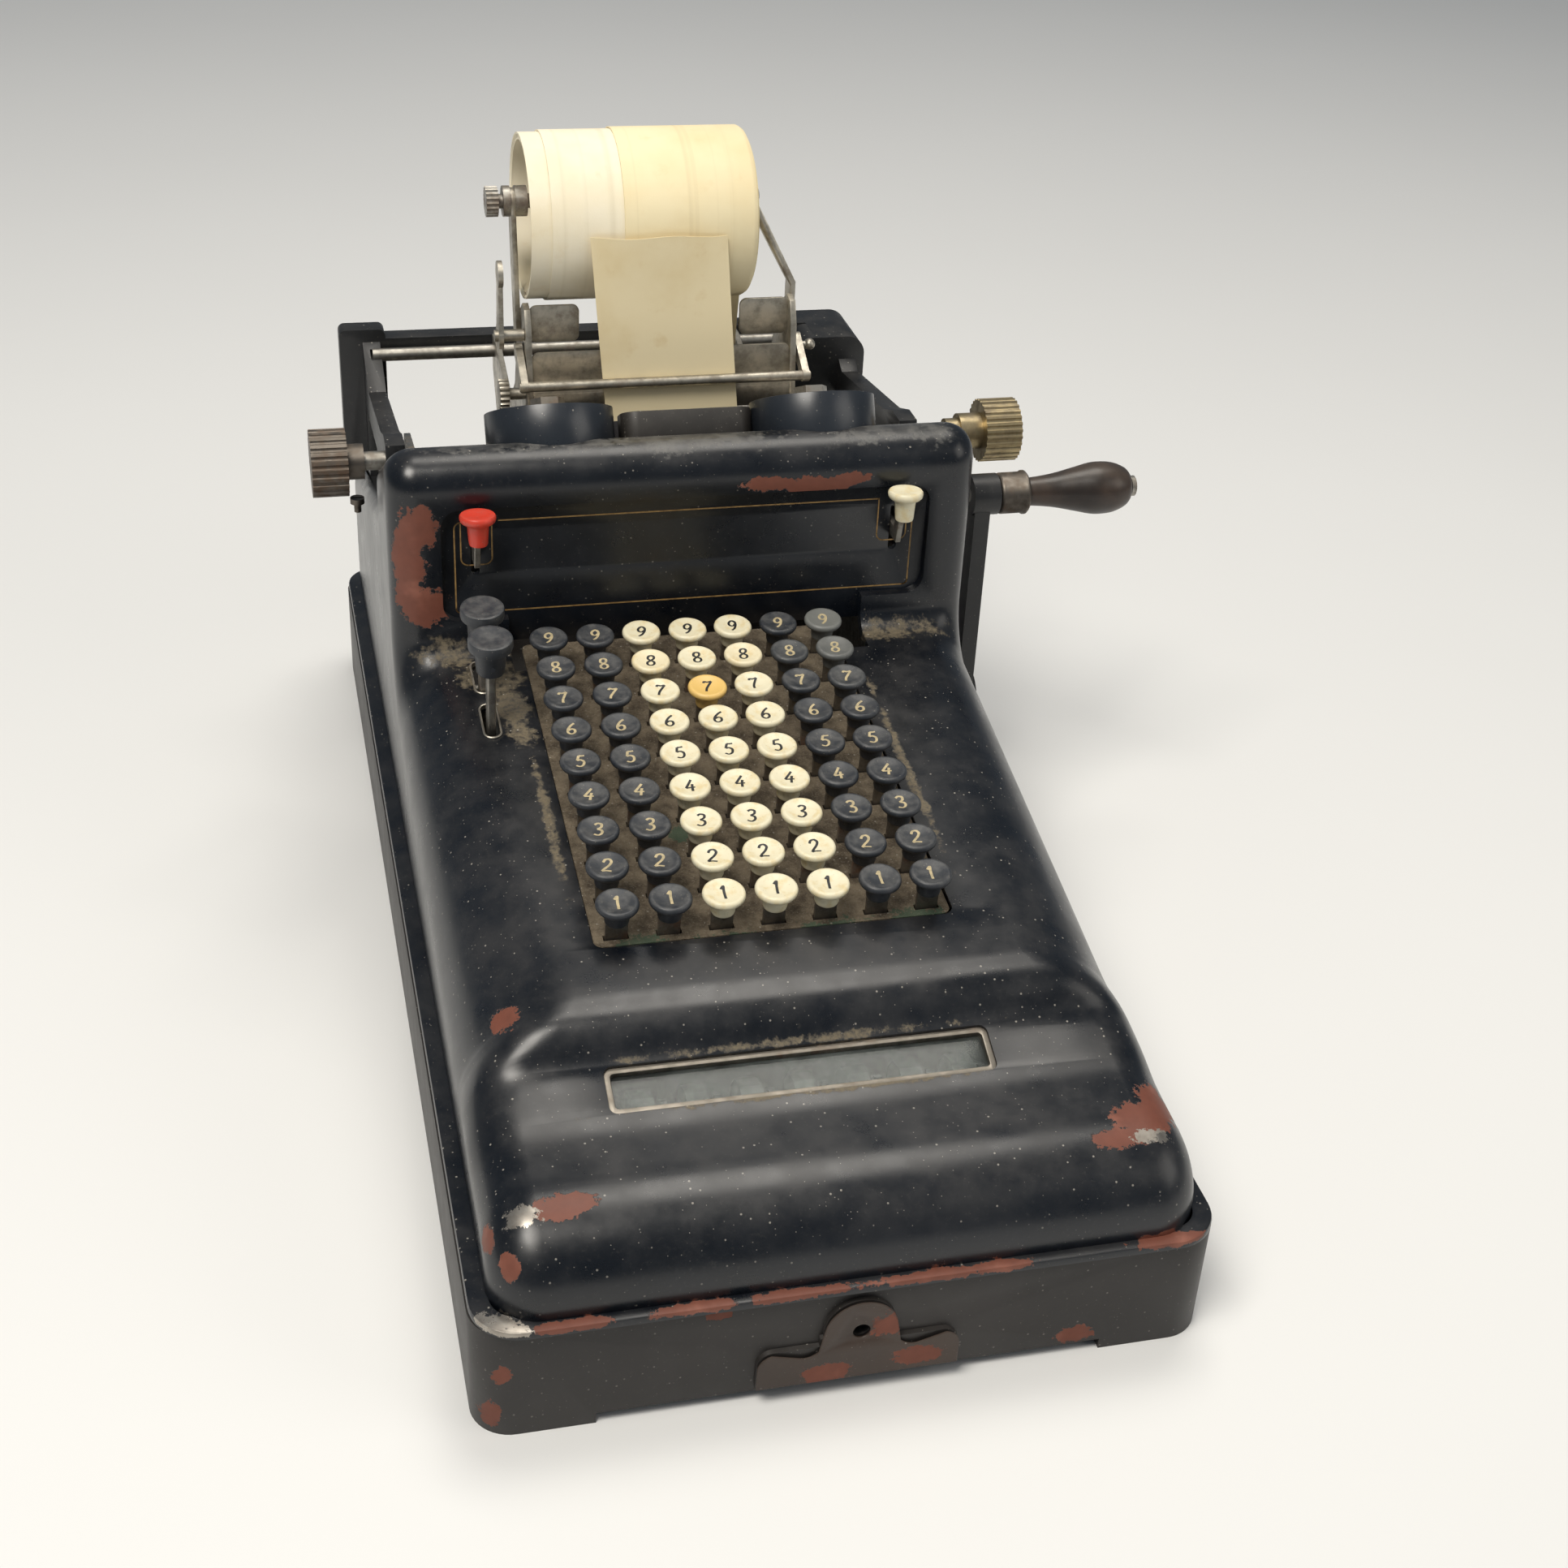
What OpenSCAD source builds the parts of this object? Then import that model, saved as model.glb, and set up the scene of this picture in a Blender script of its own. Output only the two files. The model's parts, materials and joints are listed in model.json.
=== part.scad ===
// Full-keyboard adding machine with a hand crank, built as an assembly of separate pieces.
// X runs to the operator's right, Y runs away from the operator, Z is up.
// The origin is on the plane that the base stands on, at the middle of the case.

/* [Case] */
// Width of the cover over its side walls
case_w = 243; // [230:1:265]
// Length of the cover over its front and back feet
case_l = 528; // [520:1:545]
// Height of the base pan
base_h = 45; // [38:0.5:50]
// Thickness of the base pan's walls
base_wall = 3.5; // [2.5:0.5:5]
// Height of the pan's floor above the table
floor_z = 5; // [4.6:0.1:7]
// Thickness of the pan's floor
floor_t = 2; // [1.5:0.5:3]
// Width of the flange round the cover's foot
lip_w = 6; // [4:0.5:8]
// Thickness of the flange
lip_t = 3.6; // [2.5:0.1:5]
// Wall thickness of the cover
cover_t = 2.5; // [1.5:0.1:3.5]
// Thickness of the raised frame round the name panel
panel_frame_t = 7; // [6:0.5:9]
// Depth of the recess of the panel
panel_recess = 4.5; // [2:0.5:5]
// Height of the crest of the cover
crest_z = 210; // [205:1:214]
// Radius of the roll at the crest
crest_r = 14; // [12:1:16]
// Slope of the deck behind the crest, in degrees
deck_tilt = 30; // [24:1:33]
// Half width of the mechanism bay behind the deck
bay_half_w = 117; // [114:0.5:118]

/* [Keyboard] */
// Sideways distance from one key column to the next
col_pitch = 19.05; // [18.5:0.05:19.5]
// Distance from one key row to the next
row_pitch = 20.3; // [20:0.05:20.6]
// Number of key columns
key_cols = 7; // [5:1:7]
// Slope of the keyboard, in degrees
key_slope = 6.3; // [4:0.1:8]
// Middle of the key columns, from the middle of the case
key_x = -3.65; // [-6:0.05:0]
// Depth position of the first row's caps
key_y = -145; // [-148:0.5:-142]
// Height of the first row's cap tops
key_z = 122; // [119:0.5:126]
// Diameter of a digit key's cap
cap_d = 15.6; // [13:0.1:17]
// Width of a key's flat stem
stem_w = 8; // [5:0.5:9]
// Thickness of a key's flat stem
stem_t = 1.6; // [1:0.1:2]
// Depth from the cap tops to the felt plate
plate_drop = 17; // [15:0.5:20]
// Travel of a digit key
key_travel = 4; // [2:0.5:5]

/* [Function keys] */
// Cap diameter of the two tall keys
tall_cap_d = 17.5; // [15:0.5:19]
// Height of the tall keys' caps
tall_cap_z = 162; // [155:1:168]
// Sideways place of the tall keys
tall_x = -88.5; // [-92:0.5:-86]
// Cap diameter of the two panel keys
side_cap_d = 14.5; // [12:0.5:17]
// Height of the panel keys' caps
side_cap_z = 192; // [188:1:196]
// Travel of the function keys
function_travel = 6; // [3:0.5:7]

/* [Crank] */
// Depth position of the crank's shaft
crank_y = 70; // [62:1:78]
// Height of the crank's shaft
crank_z = 66; // [62:1:72]
// Distance from the crank's shaft to its grip
crank_len = 100; // [85:1:110]
// Diameter of the crank's shaft
crank_shaft_d = 12; // [8:0.5:14]
// Length of the wooden grip
grip_l = 65; // [50:1:75]
// Largest diameter of the grip
grip_d = 23; // [18:0.5:28]

/* [Printing unit] */
// Middle of the printing unit, from the middle of the case
unit_x = 4; // [-2:0.5:6]
// Depth position of the platen's axis
platen_y = 110; // [108:0.5:112]
// Height of the platen's axis
platen_z = 178.4; // [176:0.2:181]
// Diameter of the platen
platen_d = 25; // [20:0.5:27]
// Distance between the carriage's side plates
plate_gap = 111; // [108:1:114]
// Diameter of the platen's shaft
platen_shaft_d = 8; // [6:0.5:10]
// Diameter of the feed knobs
knob_d = 28.5; // [22:0.5:32]
// Outer diameter of a ribbon cup
cup_d = 52.6; // [48:0.2:54]
// Distance between the two ribbon cups
cup_spacing = 111; // [106:1:114]
// Depth position of the ribbon cups
cup_y = 76.5; // [75:0.5:78]
// Height of the cups' rims at their middle
cup_z = 211.2; // [209:0.2:214]

/* [Paper] */
// Width of the paper
paper_w = 57; // [50:1:60]
// Outer diameter of the paper roll
roll_d = 70.6; // [55:0.2:72]
// Depth position of the roll's axis
roll_y = 140; // [138:0.5:144]
// Height of the roll's axis
roll_z = 272; // [270:0.5:278]

/* [Fits] */
// Radial clearance of a running fit
run_gap = 0.05; // [0.02:0.01:0.1]
// Clearance round a sliding key stem
slot_gap = 0.6; // [0.3:0.1:0.8]

/* [Hidden] */
$fn = 48;
over = 1; // how far a cutting shape runs past a face

half_w = case_w / 2;
half_l = case_l / 2;
lip_top = base_h + lip_t;
foot_z = base_h + 1; // the cover's skin starts inside the flange
lip_corner = 17;
pan_corner = 14;
slope = tan(key_slope);

// Window in the front deck
window_w = 136;
window_h = 18;
window_x = -6;
window_y = -201.5;
window_z = 85;
window_tilt = 20;

// Panel and crest
panel_y = 37;
face_y = panel_y - panel_recess;
panel_half_w = 101;
panel_low_z = 140;
panel_high_z = 190;
crest_edge = crest_r - 2;
crest_c_y = face_y + crest_r;
crest_c_z = crest_z - crest_r;
deck_len = 36;
deck_start = [crest_c_y + crest_r * sin(deck_tilt), crest_c_z + crest_r * cos(deck_tilt)];
deck_end = [deck_start[0] + deck_len * cos(deck_tilt), deck_start[1] - deck_len * sin(deck_tilt)];

// Height of the cover's plateau above the table, just over the felt plate
function plateau(y) = key_z - plate_drop + 1.5 + (y - key_y) * slope;
ridge_y = key_y - 34;
foot_fillet = 9;
fillet_y = face_y - foot_fillet;

// Keyboard opening
open_x1 = key_x - col_pitch * 3.46;
open_x2 = key_x + col_pitch * 3.46;
open_y1 = key_y - 5;

function key_pos(col, row) = [
    (col - (key_cols + 1) / 2) * col_pitch,
    (row - 1) * row_pitch
];
plate_t = 1.6;
comb_drop = plate_drop + 21;
stem_end = comb_drop + 8;

// Side profile of the cover: depth, height, edge radius, inward direction in degrees, skin thickness
nose_a = 30;
nose_b = 26;
nose_c = [-half_l - 2 + nose_a, base_h + 8];
function nose(k) = [
    nose_c[0] + nose_a * cos(180 - k * 90),
    nose_c[1] + nose_b * sin(180 - k * 90),
    18, -k * 90, cover_t
];
function crest(k) = [
    crest_c_y - crest_r * cos(k * (90 + deck_tilt)),
    crest_c_z + crest_r * sin(k * (90 + deck_tilt)),
    crest_edge, -k * 90, panel_frame_t + (cover_t - panel_frame_t) * k
];
function foot(k) = [
    fillet_y + foot_fillet * sin(k * 90),
    plateau(fillet_y) + foot_fillet * (1 - cos(k * 90)),
    crest_edge - 1 + (26 - crest_edge) * (1 - k) * (1 - k), -90 + k * 90, cover_t + (panel_frame_t - cover_t) * k
];
side_start_z = platen_z - 14;
side_end = [half_l - 26, base_h + 72];
function side_run(k) = [
    deck_end[0] + 6 + (side_end[0] - deck_end[0] - 6) * k,
    side_start_z + (side_end[1] - side_start_z) * k,
    8, -90, cover_t
];
function tail(k) = [
    side_end[0] + 26 * sin(k * 90),
    side_end[1] - 20 + 20 * cos(k * 90),
    8, -90 - k * 90, cover_t
];
function profile(low) = concat(
    [[-half_l - 2, low, 18, 0, cover_t]],
    [for (i = [0:8]) nose(i / 8)],
    [
        [window_y - 22, window_z - 5.2, 18, -90, cover_t],
        [window_y - 12, window_z - 4, 18, -90, cover_t],
        [window_y, window_z, 19, -90, cover_t],
        [window_y + 9, window_z + 4, 22, -90, cover_t],
        [ridge_y - 8, plateau(ridge_y) - 7, 30, -90, cover_t],
        [ridge_y - 3, plateau(ridge_y) - 2.5, 36, -90, cover_t],
        [ridge_y + 3, plateau(ridge_y) - 0.3, 40, -90, cover_t]
    ],
    [for (k = [0:4]) let (y = ridge_y + 12 + (fillet_y - ridge_y - 12) * k / 5)
        [y, plateau(y), 42 - 17 * k / 5, -90, cover_t]],
    [for (i = [0:4]) foot(i / 4)],
    [for (i = [0:8]) crest(i / 8)],
    [[deck_end[0], deck_end[1], 10, -90, cover_t]],
    [for (i = [0:4]) side_run(i / 4)],
    [for (i = [1:4]) tail(i / 4)],
    [[half_l, low, 8, -180, cover_t]]
);

edge_steps = 6;
// One row of points across the cover at a station of the side profile
function across(s, w, inner) = let (
    inset = inner ? s[4] : 0,
    d = [cos(s[3]), sin(s[3])],
    q = [s[0] + s[2] * d[0], s[1] + s[2] * d[1]],
    p = [s[0] + inset * d[0], s[1] + inset * d[1]],
    r = s[2] - min(inset, cover_t),
    left = [for (j = [0:edge_steps]) let (a = 90 - j * 90 / edge_steps)
        [-(w - r + r * sin(a)), q[0] + (p[0] - q[0]) * cos(a), q[1] + (p[1] - q[1]) * cos(a)]]
) concat(left, [for (j = [edge_steps:-1:0]) [-left[j][0], left[j][1], left[j][2]]]);

module loft(stations, w, inner) {
    rows = [for (s = stations) across(s, w, inner)];
    n = len(rows);
    m = len(rows[0]);
    points = [for (r = rows) each r];
    skin = [for (i = [0:n - 2]) for (j = [0:m - 2]) each [
        [i * m + j, (i + 1) * m + j, i * m + j + 1],
        [i * m + j + 1, (i + 1) * m + j, (i + 1) * m + j + 1]
    ]];
    low = rows[0][0][2];
    feet = [for (i = [2:n - 3]) each [
        [rows[i][0][0], rows[i][0][1], low],
        [rows[i][m - 1][0], rows[i][m - 1][1], low]
    ]];
    function foot_point(i, right) = i < 2 ? (right ? m - 1 : 0)
        : i > n - 3 ? (n - 1) * m + (right ? m - 1 : 0)
        : n * m + 2 * (i - 2) + (right ? 1 : 0);
    sides = [for (i = [1:n - 3]) each [
        [i * m, foot_point(i, false), foot_point(i + 1, false), (i + 1) * m],
        [i * m + m - 1, (i + 1) * m + m - 1, foot_point(i + 1, true), foot_point(i, true)]
    ]];
    bottom = concat(
        [[for (j = [0:m - 1]) j]],
        [for (i = [1:n - 3])
            [foot_point(i, false), foot_point(i, true), foot_point(i + 1, true), foot_point(i + 1, false)]],
        [[for (j = [m - 1:-1:0]) (n - 1) * m + j]]
    );
    polyhedron(concat(points, feet), concat(skin, sides, bottom), convexity = 6);
}

module rounded_plate(w, l, r, h) {
    linear_extrude(h) rounded_outline(w, l, r);
}

module rounded_outline(w, l, r) {
    square([w - 2 * r, l], center = true);
    square([w, l - 2 * r], center = true);
    for (x = [-1, 1], y = [-1, 1]) translate([x * (w / 2 - r), y * (l / 2 - r)]) circle(r);
}

// A rounded slab lying in the XZ plane, from one depth to another
module upright_slab(w, h, r, y1, y2) {
    translate([0, y2, 0]) rotate([90, 0, 0]) linear_extrude(y2 - y1) rounded_outline(w, h, r);
}

// An outline of depth and height points, as a plate across X
module side_plate(x, t, outline) {
    translate([x, 0, 0]) rotate([90, 0, 90]) linear_extrude(t) polygon(outline);
}

module cross_bar(d, x1, x2, y, z) {
    translate([x1, y, z]) rotate([0, 90, 0]) cylinder(d = d, h = x2 - x1);
}

module key_frame() {
    translate([key_x, key_y, key_z]) rotate([key_slope, 0, 0]) children();
}

module tilted_cup(side) {
    translate([unit_x + side * cup_spacing / 2, cup_y, cup_z]) rotate([-deck_tilt, 0, 0]) children();
}

// Base pan: skirt, floor, ledge, boss with its hole, arch between the front feet
pan_w = case_w + 2 * lip_w + 1;
pan_l = case_l + 6;
arch_half_w = 88;
boss_hole_z = 28.8;
ledge_w = 12;
post_d = 13;
screw_d = 4;
screw_head_d = 7.5;
screw_head_h = 2.4;
module pan_corners() {
    for (x = [-1, 1], y = [-1, 1]) translate([x * (pan_w / 2 - 8), y * (pan_l / 2 - 20), 0]) children();
}

module base_pan() {
    color([0.16, 0.14, 0.13]) difference() {
        union() {
            difference() {
                rounded_plate(pan_w, pan_l, pan_corner, base_h);
                translate([0, 0, floor_z + floor_t])
                    rounded_plate(pan_w - 2 * base_wall, pan_l - 2 * base_wall, pan_corner - base_wall,
                        base_h);
                translate([0, 0, -over])
                    rounded_plate(pan_w - 2 * ledge_w, pan_l - 2 * ledge_w, pan_corner - base_wall,
                        floor_z + over);
            }
            pan_corners() translate([0, 0, floor_z]) cylinder(d = post_d, h = base_h - floor_z);
            boss();
        }
        translate([0, -pan_l / 2, 0]) cube([2 * arch_half_w, 4 * ledge_w, 2 * (floor_z - 0.6)], center = true);
        translate([0, -pan_l / 2 - 6, boss_hole_z]) rotate([-90, 0, 0]) cylinder(d = 6, h = 14);
        pan_corners() translate([0, 0, -over]) cylinder(d = screw_d, h = base_h + 2 * over);
        pan_corners() translate([0, 0, -over]) cylinder(d = screw_head_d + 1, h = floor_z + screw_head_h + over);
    }
}

// Bell-shaped boss on the front of the base
module boss() {
    translate([0, -pan_l / 2 + 0.5, 0]) rotate([90, 0, 0]) linear_extrude(2.5) difference() {
        union() {
            translate([0, boss_hole_z]) circle(12.5);
            translate([0, 12]) square([70, 9], center = true);
            translate([0, 16]) square([58, 13], center = true);
            for (x = [-1, 1]) translate([x * 29, 16.5]) circle(6);
            translate([0, 22]) square([27, 8], center = true);
        }
        translate([0, -1]) square([90, 17], center = true);
    }
}

module rim_flange() {
    translate([0, 0, base_h]) difference() {
        rounded_plate(case_w + 2 * lip_w, case_l + 2 * lip_w, lip_corner, lip_t);
        translate([0, 0, -over]) rounded_plate(case_w - 2 * cover_t - 2, case_l - 2 * cover_t - 2,
            lip_corner - cover_t, lip_t + 2 * over);
    }
}

module keyboard_opening() {
    cx = (open_x1 + open_x2) / 2;
    len_y = panel_y - open_y1;
    translate([cx, open_y1 + len_y / 2, key_z - 45])
        rounded_plate(open_x2 - open_x1, len_y, 4, 62);
}

module panel_pocket() {
    translate([0, 0, (panel_low_z + panel_high_z) / 2])
        upright_slab(2 * panel_half_w, panel_high_z - panel_low_z, 8, panel_y - 20, panel_y);
    translate([0, 0, 135]) upright_slab(149, 34, 6, panel_y - 20, panel_y);
}

// Places of the tall keys, along the keyboard from its first row, and their slots in the cover
total_y = 152.2;
subtotal_y = 127.2;
tall_slot_w = 6.4;
tall_slot_l = 21.5;
total_slot_y = 14.2;
subtotal_slot_y = -14.8;
module tall_slots() {
    for (y = [total_slot_y, subtotal_slot_y])
        translate([tall_x, y, 60]) rounded_plate(tall_slot_w, tall_slot_l, tall_slot_w / 2 - 0.01, 100);
}

red_x = -87.2;
repeat_x = 87.3;
panel_slot_w = 3.4;
panel_slot_z = [side_cap_z - 33, side_cap_z - 12];
module panel_slots() {
    for (x = [red_x, repeat_x])
        translate([x, 0, (panel_slot_z[0] + panel_slot_z[1]) / 2])
            upright_slab(panel_slot_w, panel_slot_z[1] - panel_slot_z[0], panel_slot_w / 2 - 0.01,
                panel_y - 5, panel_y + 20);
}

module window_hole(w, h, r, depth) {
    translate([window_x, window_y, window_z]) rotate([window_tilt, 0, 0])
        translate([0, 0, -depth]) rounded_plate(w, h, r, 2 * depth);
}

bay_y1 = deck_end[0] + 0.5;
bay_y2 = half_l - 14;
module bay_opening() {
    translate([-bay_half_w, bay_y1, lip_top + 30]) cube([2 * bay_half_w, bay_y2 - bay_y1, 200]);
}

guard_w = 55;
guard_l = 20;
guard_h = 12;
guard_y = 73;
function deck_height(y) = deck_start[1] - (y - deck_start[0]) * tan(deck_tilt);
module case_cover() {
    color([0.09, 0.1, 0.12]) difference() {
        union() {
            difference() {
                loft(profile(foot_z), half_w, false);
                loft(profile(base_h - 6), half_w - cover_t, true);
            }
            rim_flange();
        }
        keyboard_opening();
        panel_pocket();
        tall_slots();
        panel_slots();
        window_hole(window_w, window_h, 3, 12);
        bay_opening();
        for (side = [-1, 1]) tilted_cup(side) translate([0, 0, -cup_h - 2]) cylinder(d = cup_d, h = 60);
        translate([unit_x - guard_w / 2 + 6, guard_y - 3, crest_c_z - 20]) cube([guard_w - 12, 40, 60]);
        translate([half_w - 10, crank_y, crank_z]) rotate([0, 90, 0]) cylinder(d = crank_shaft_d + 6, h = 20);
        pan_corners() translate([0, 0, base_h - over]) cylinder(d = screw_d, h = lip_t + 0.4);
    }
}

// Screws that hold the cover's flange to the base pan, from below
module case_screws() {
    color([0.5, 0.48, 0.44]) pan_corners() translate([0, 0, floor_z + screw_head_h]) rotate([180, 0, 0])
        slotted_screw(screw_head_d, screw_head_h, screw_d, base_h - floor_z - screw_head_h + lip_t - 0.6);
}

module slotted_screw(head_d, head_h, shank_d, shank_l) {
    difference() {
        union() {
            cylinder(d = head_d, h = head_h);
            translate([0, 0, -shank_l]) cylinder(d = shank_d, h = shank_l + 0.1);
        }
        translate([0, 0, head_h]) cube([head_d + over, head_d / 6, head_h], center = true);
    }
}

// Pressed rim round the window
bezel_w = 2.2;
module window_bezel() {
    color([0.6, 0.58, 0.48]) translate([window_x, window_y, window_z]) rotate([window_tilt, 0, 0]) difference() {
        translate([0, 0, -3.4]) rounded_plate(window_w, window_h, 3, 2.6);
        translate([0, 0, -5]) rounded_plate(window_w - 2 * bezel_w, window_h - 2 * bezel_w, 1.5, 6);
    }
}

module window_glass() {
    color([0.75, 0.8, 0.78, 0.35]) translate([window_x, window_y, window_z]) rotate([window_tilt, 0, 0])
        translate([0, 0, -4.9]) rounded_plate(window_w, window_h, 3, 1.5);
}

module key_slots(h, gap) {
    for (c = [1:key_cols], r = [1:9])
        translate([key_pos(c, r)[0], key_pos(c, r)[1], 0])
            translate([0, 0, h / 2]) cube([stem_w + 2 * gap, stem_t + 2 * gap, h + 2 * over], center = true);
}

// Felt-covered plate that the key stems come through
plate_margin = 0.5;
module key_plate() {
    y1 = -5 + plate_margin;
    y2 = (panel_y - key_y) / cos(key_slope) - plate_margin - 1;
    x1 = open_x1 + plate_margin - key_x;
    x2 = open_x2 - plate_margin - key_x;
    color([0.4, 0.36, 0.27]) key_frame() translate([0, 0, -plate_drop - plate_t]) difference() {
        union() {
            translate([(x1 + x2) / 2, (y1 + y2) / 2, 0]) rounded_plate(x2 - x1, y2 - y1, 3, plate_t);
            for (x = [-2.5, 2.5], y = [0.5, 4.5, 7.5]) translate([x * col_pitch, y * row_pitch, 0])
                translate([0, 0, plate_drop - comb_drop + plate_t]) cylinder(d = 5, h = comb_drop - plate_drop);
        }
        key_slots(plate_t, slot_gap);
    }
}

// Lower comb that keeps the stems square, carried between the side frames
frame_x = 97;
frame_t = 3;
module key_comb() {
    y1 = -14;
    y2 = 8 * row_pitch + 12;
    color([0.45, 0.43, 0.38]) key_frame() translate([0, 0, -comb_drop - plate_t]) difference() {
        translate([-key_x, (y1 + y2) / 2, 0]) rounded_plate(2 * frame_x, y2 - y1, 2, plate_t);
        key_slots(plate_t, slot_gap);
        for (y = [total_y, subtotal_y]) translate([tall_x - key_x, y, 0])
            cube([tall_stem_t + 2 * slot_gap, tall_stem_w + 2 * slot_gap, 3 * plate_t], center = true);
    }
}

// A digit key: dished cap with a rounded rim and a tapered collar, on a flat steel stem
cap_h = 3.4;
collar_h = 8;
module digit_key() {
    r = cap_d / 2;
    rotate_extrude() polygon([
        [0, -0.9], [r * 0.45, -0.7], [r * 0.8, -0.15], [r * 0.9, 0], [r * 0.98, -0.5], [r, -1.3],
        [r * 0.96, -2.3], [r * 0.8, -cap_h], [r * 0.62, -cap_h - 0.6], [r * 0.56, -cap_h - collar_h],
        [r * 0.5, -cap_h - collar_h - 0.6], [0, -cap_h - collar_h - 0.6]
    ]);
    translate([0, 0, -(stem_end + cap_h + collar_h) / 2])
        cube([stem_w, stem_t, stem_end - cap_h - collar_h + 1.6], center = true);
}

black_cols = [1, 2, 6, 7];
white_cols = [3, 4, 5];
module key_group(row, cols) {
    key_frame() for (c = cols) if (c <= key_cols)
        translate([key_pos(c, row)[0], key_pos(c, row)[1], 0]) digit_key();
}

module white_keys(row) {
    color([0.9, 0.85, 0.68]) key_group(row, white_cols);
}

module black_keys(row) {
    color([0.12, 0.13, 0.15]) key_group(row, black_cols);
}

module white_keys_1() white_keys(1);
module white_keys_2() white_keys(2);
module white_keys_3() white_keys(3);
module white_keys_4() white_keys(4);
module white_keys_5() white_keys(5);
module white_keys_6() white_keys(6);
module white_keys_7() white_keys(7);
module white_keys_8() white_keys(8);
module white_keys_9() white_keys(9);
module black_keys_1() black_keys(1);
module black_keys_2() black_keys(2);
module black_keys_3() black_keys(3);
module black_keys_4() black_keys(4);
module black_keys_5() black_keys(5);
module black_keys_6() black_keys(6);
module black_keys_7() black_keys(7);
module black_keys_8() black_keys(8);
module black_keys_9() black_keys(9);

// Tall function key: large cap, cone collar with a set screw hole, flat steel stem
tall_stem_l = 84;
tall_stem_w = 7;
tall_stem_t = 3.2;
module tall_key(y) {
    r = tall_cap_d / 2;
    up = tall_cap_z - key_z - y * sin(key_slope);
    key_frame() translate([tall_x - key_x, y, up]) {
        difference() {
            rotate_extrude() polygon([
                [0, -0.8], [r * 0.75, -0.3], [r * 0.9, 0], [r, -1], [r * 0.99, -4.4], [r * 0.85, -5.2],
                [r * 0.66, -5.8], [r * 0.56, -16], [0, -16]
            ]);
            translate([0, 0, -11]) rotate([90, 0, 0]) cylinder(d = 2.4, h = r);
        }
        translate([0, 0, -14 - tall_stem_l / 2]) cube([tall_stem_t, tall_stem_w, tall_stem_l], center = true);
    }
}

module total_key() {
    color([0.1, 0.1, 0.11]) tall_key(total_y);
}

module subtotal_key() {
    color([0.1, 0.1, 0.11]) tall_key(subtotal_y);
}

// Panel key: cap and collar in front of the panel, on a flat bent lever that comes out of a slot
side_cap_out = 13;
lever_t = 2.4;
module side_key(x, cap_z) {
    r = side_cap_d / 2;
    y = panel_y - side_cap_out;
    translate([x, y, cap_z]) rotate([20, 0, 0]) rotate_extrude() polygon([
        [0, -0.7], [r * 0.75, -0.2], [r * 0.9, 0], [r, -1], [r * 0.97, -3], [r * 0.75, -4], [r * 0.6, -4.6],
        [r * 0.52, -13], [0, -13]
    ]);
    side_plate(x - lever_t / 2, lever_t, [
        [y + 1, cap_z - 8], [y + 6, cap_z - 8], [y + 9, cap_z - 20], [panel_y + 24, cap_z - 20],
        [panel_y + 30, cap_z - 60], [panel_y + 24, cap_z - 60], [panel_y + 18, cap_z - 26], [y + 5, cap_z - 26]
    ]);
}

module red_key() {
    color([0.78, 0.13, 0.1]) side_key(red_x, side_cap_z);
}

module repeat_key() {
    color([0.9, 0.87, 0.7]) side_key(repeat_x, side_cap_z);
}

// Side frames that carry the mechanism
function comb_z(y) = key_z - comb_drop + (y - key_y) * slope;
frame_y1 = -165;
frame_y2 = 228;
frame_outline = [
    [frame_y1, floor_z + floor_t], [frame_y2, floor_z + floor_t], [frame_y2, 100], [212, 146], [76, 160],
    [48, 124], [34, comb_z(34) + 3], [frame_y1, comb_z(frame_y1) + 3]
];
type_bar_y = 86;
guide_rods = [[type_bar_y, 122], [type_bar_y, 148]];
rod_places = concat(
    [[-150, 26], [-150, 60], [20, 20], [150, 40], [210, 60], [124, 140], [205, 138]],
    guide_rods
);
rod_d = 6;
rail_y = 220;
rail_z = 182;
module side_frame(x) {
    difference() {
        side_plate(x, frame_t, frame_outline);
        for (p = rod_places) cross_bar(rod_d, x - over, x + frame_t + over, p[0], p[1]);
        cross_bar(crank_shaft_d + 2 * run_gap, x - over, x + frame_t + over, crank_y, crank_z);
        for (y = [-40, 180]) translate([x - over, y - 22, 30]) cube([frame_t + 2 * over, 44, 24]);
    }
}

module left_side_frame() {
    color([0.42, 0.41, 0.38]) side_frame(-frame_x - frame_t);
}

module right_side_frame() {
    color([0.42, 0.41, 0.38]) side_frame(frame_x);
}

// Steel rods that tie the side frames together, and the rail under the rear bar
module frame_rods() {
    color([0.62, 0.6, 0.56]) {
        for (p = rod_places) cross_bar(rod_d, -frame_x - frame_t - 2, frame_x + frame_t + 2, p[0], p[1]);
        cross_bar(rod_d, -112, 96, rail_y, rail_z);
    }
}

// Number wheels under the window, loose on their fixed shaft
dial_d = 26;
dial_y = -196;
dial_z = 62;
dial_shaft_d = 5;
module dial_wheels() {
    color([0.35, 0.38, 0.35]) for (c = [1:key_cols])
        translate([key_x + key_pos(c, 1)[0] - 4, dial_y, dial_z]) rotate([0, 90, 0]) difference() {
            union() {
                cylinder(d = dial_d, h = 8, $fn = 10);
                cylinder(d = 14, h = 11);
                translate([0, 0, 11]) linear_extrude(2.5) gear_outline(10, 9, 7);
            }
            translate([0, 0, -over]) cylinder(d = dial_shaft_d + 2 * run_gap, h = 20);
        }
}

module gear_outline(teeth, r_out, r_root) {
    difference() {
        circle(r_out);
        for (i = [0:teeth - 1]) rotate(i * 360 / teeth) translate([r_out, 0]) circle(r_out - r_root, $fn = 16);
    }
}

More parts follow.
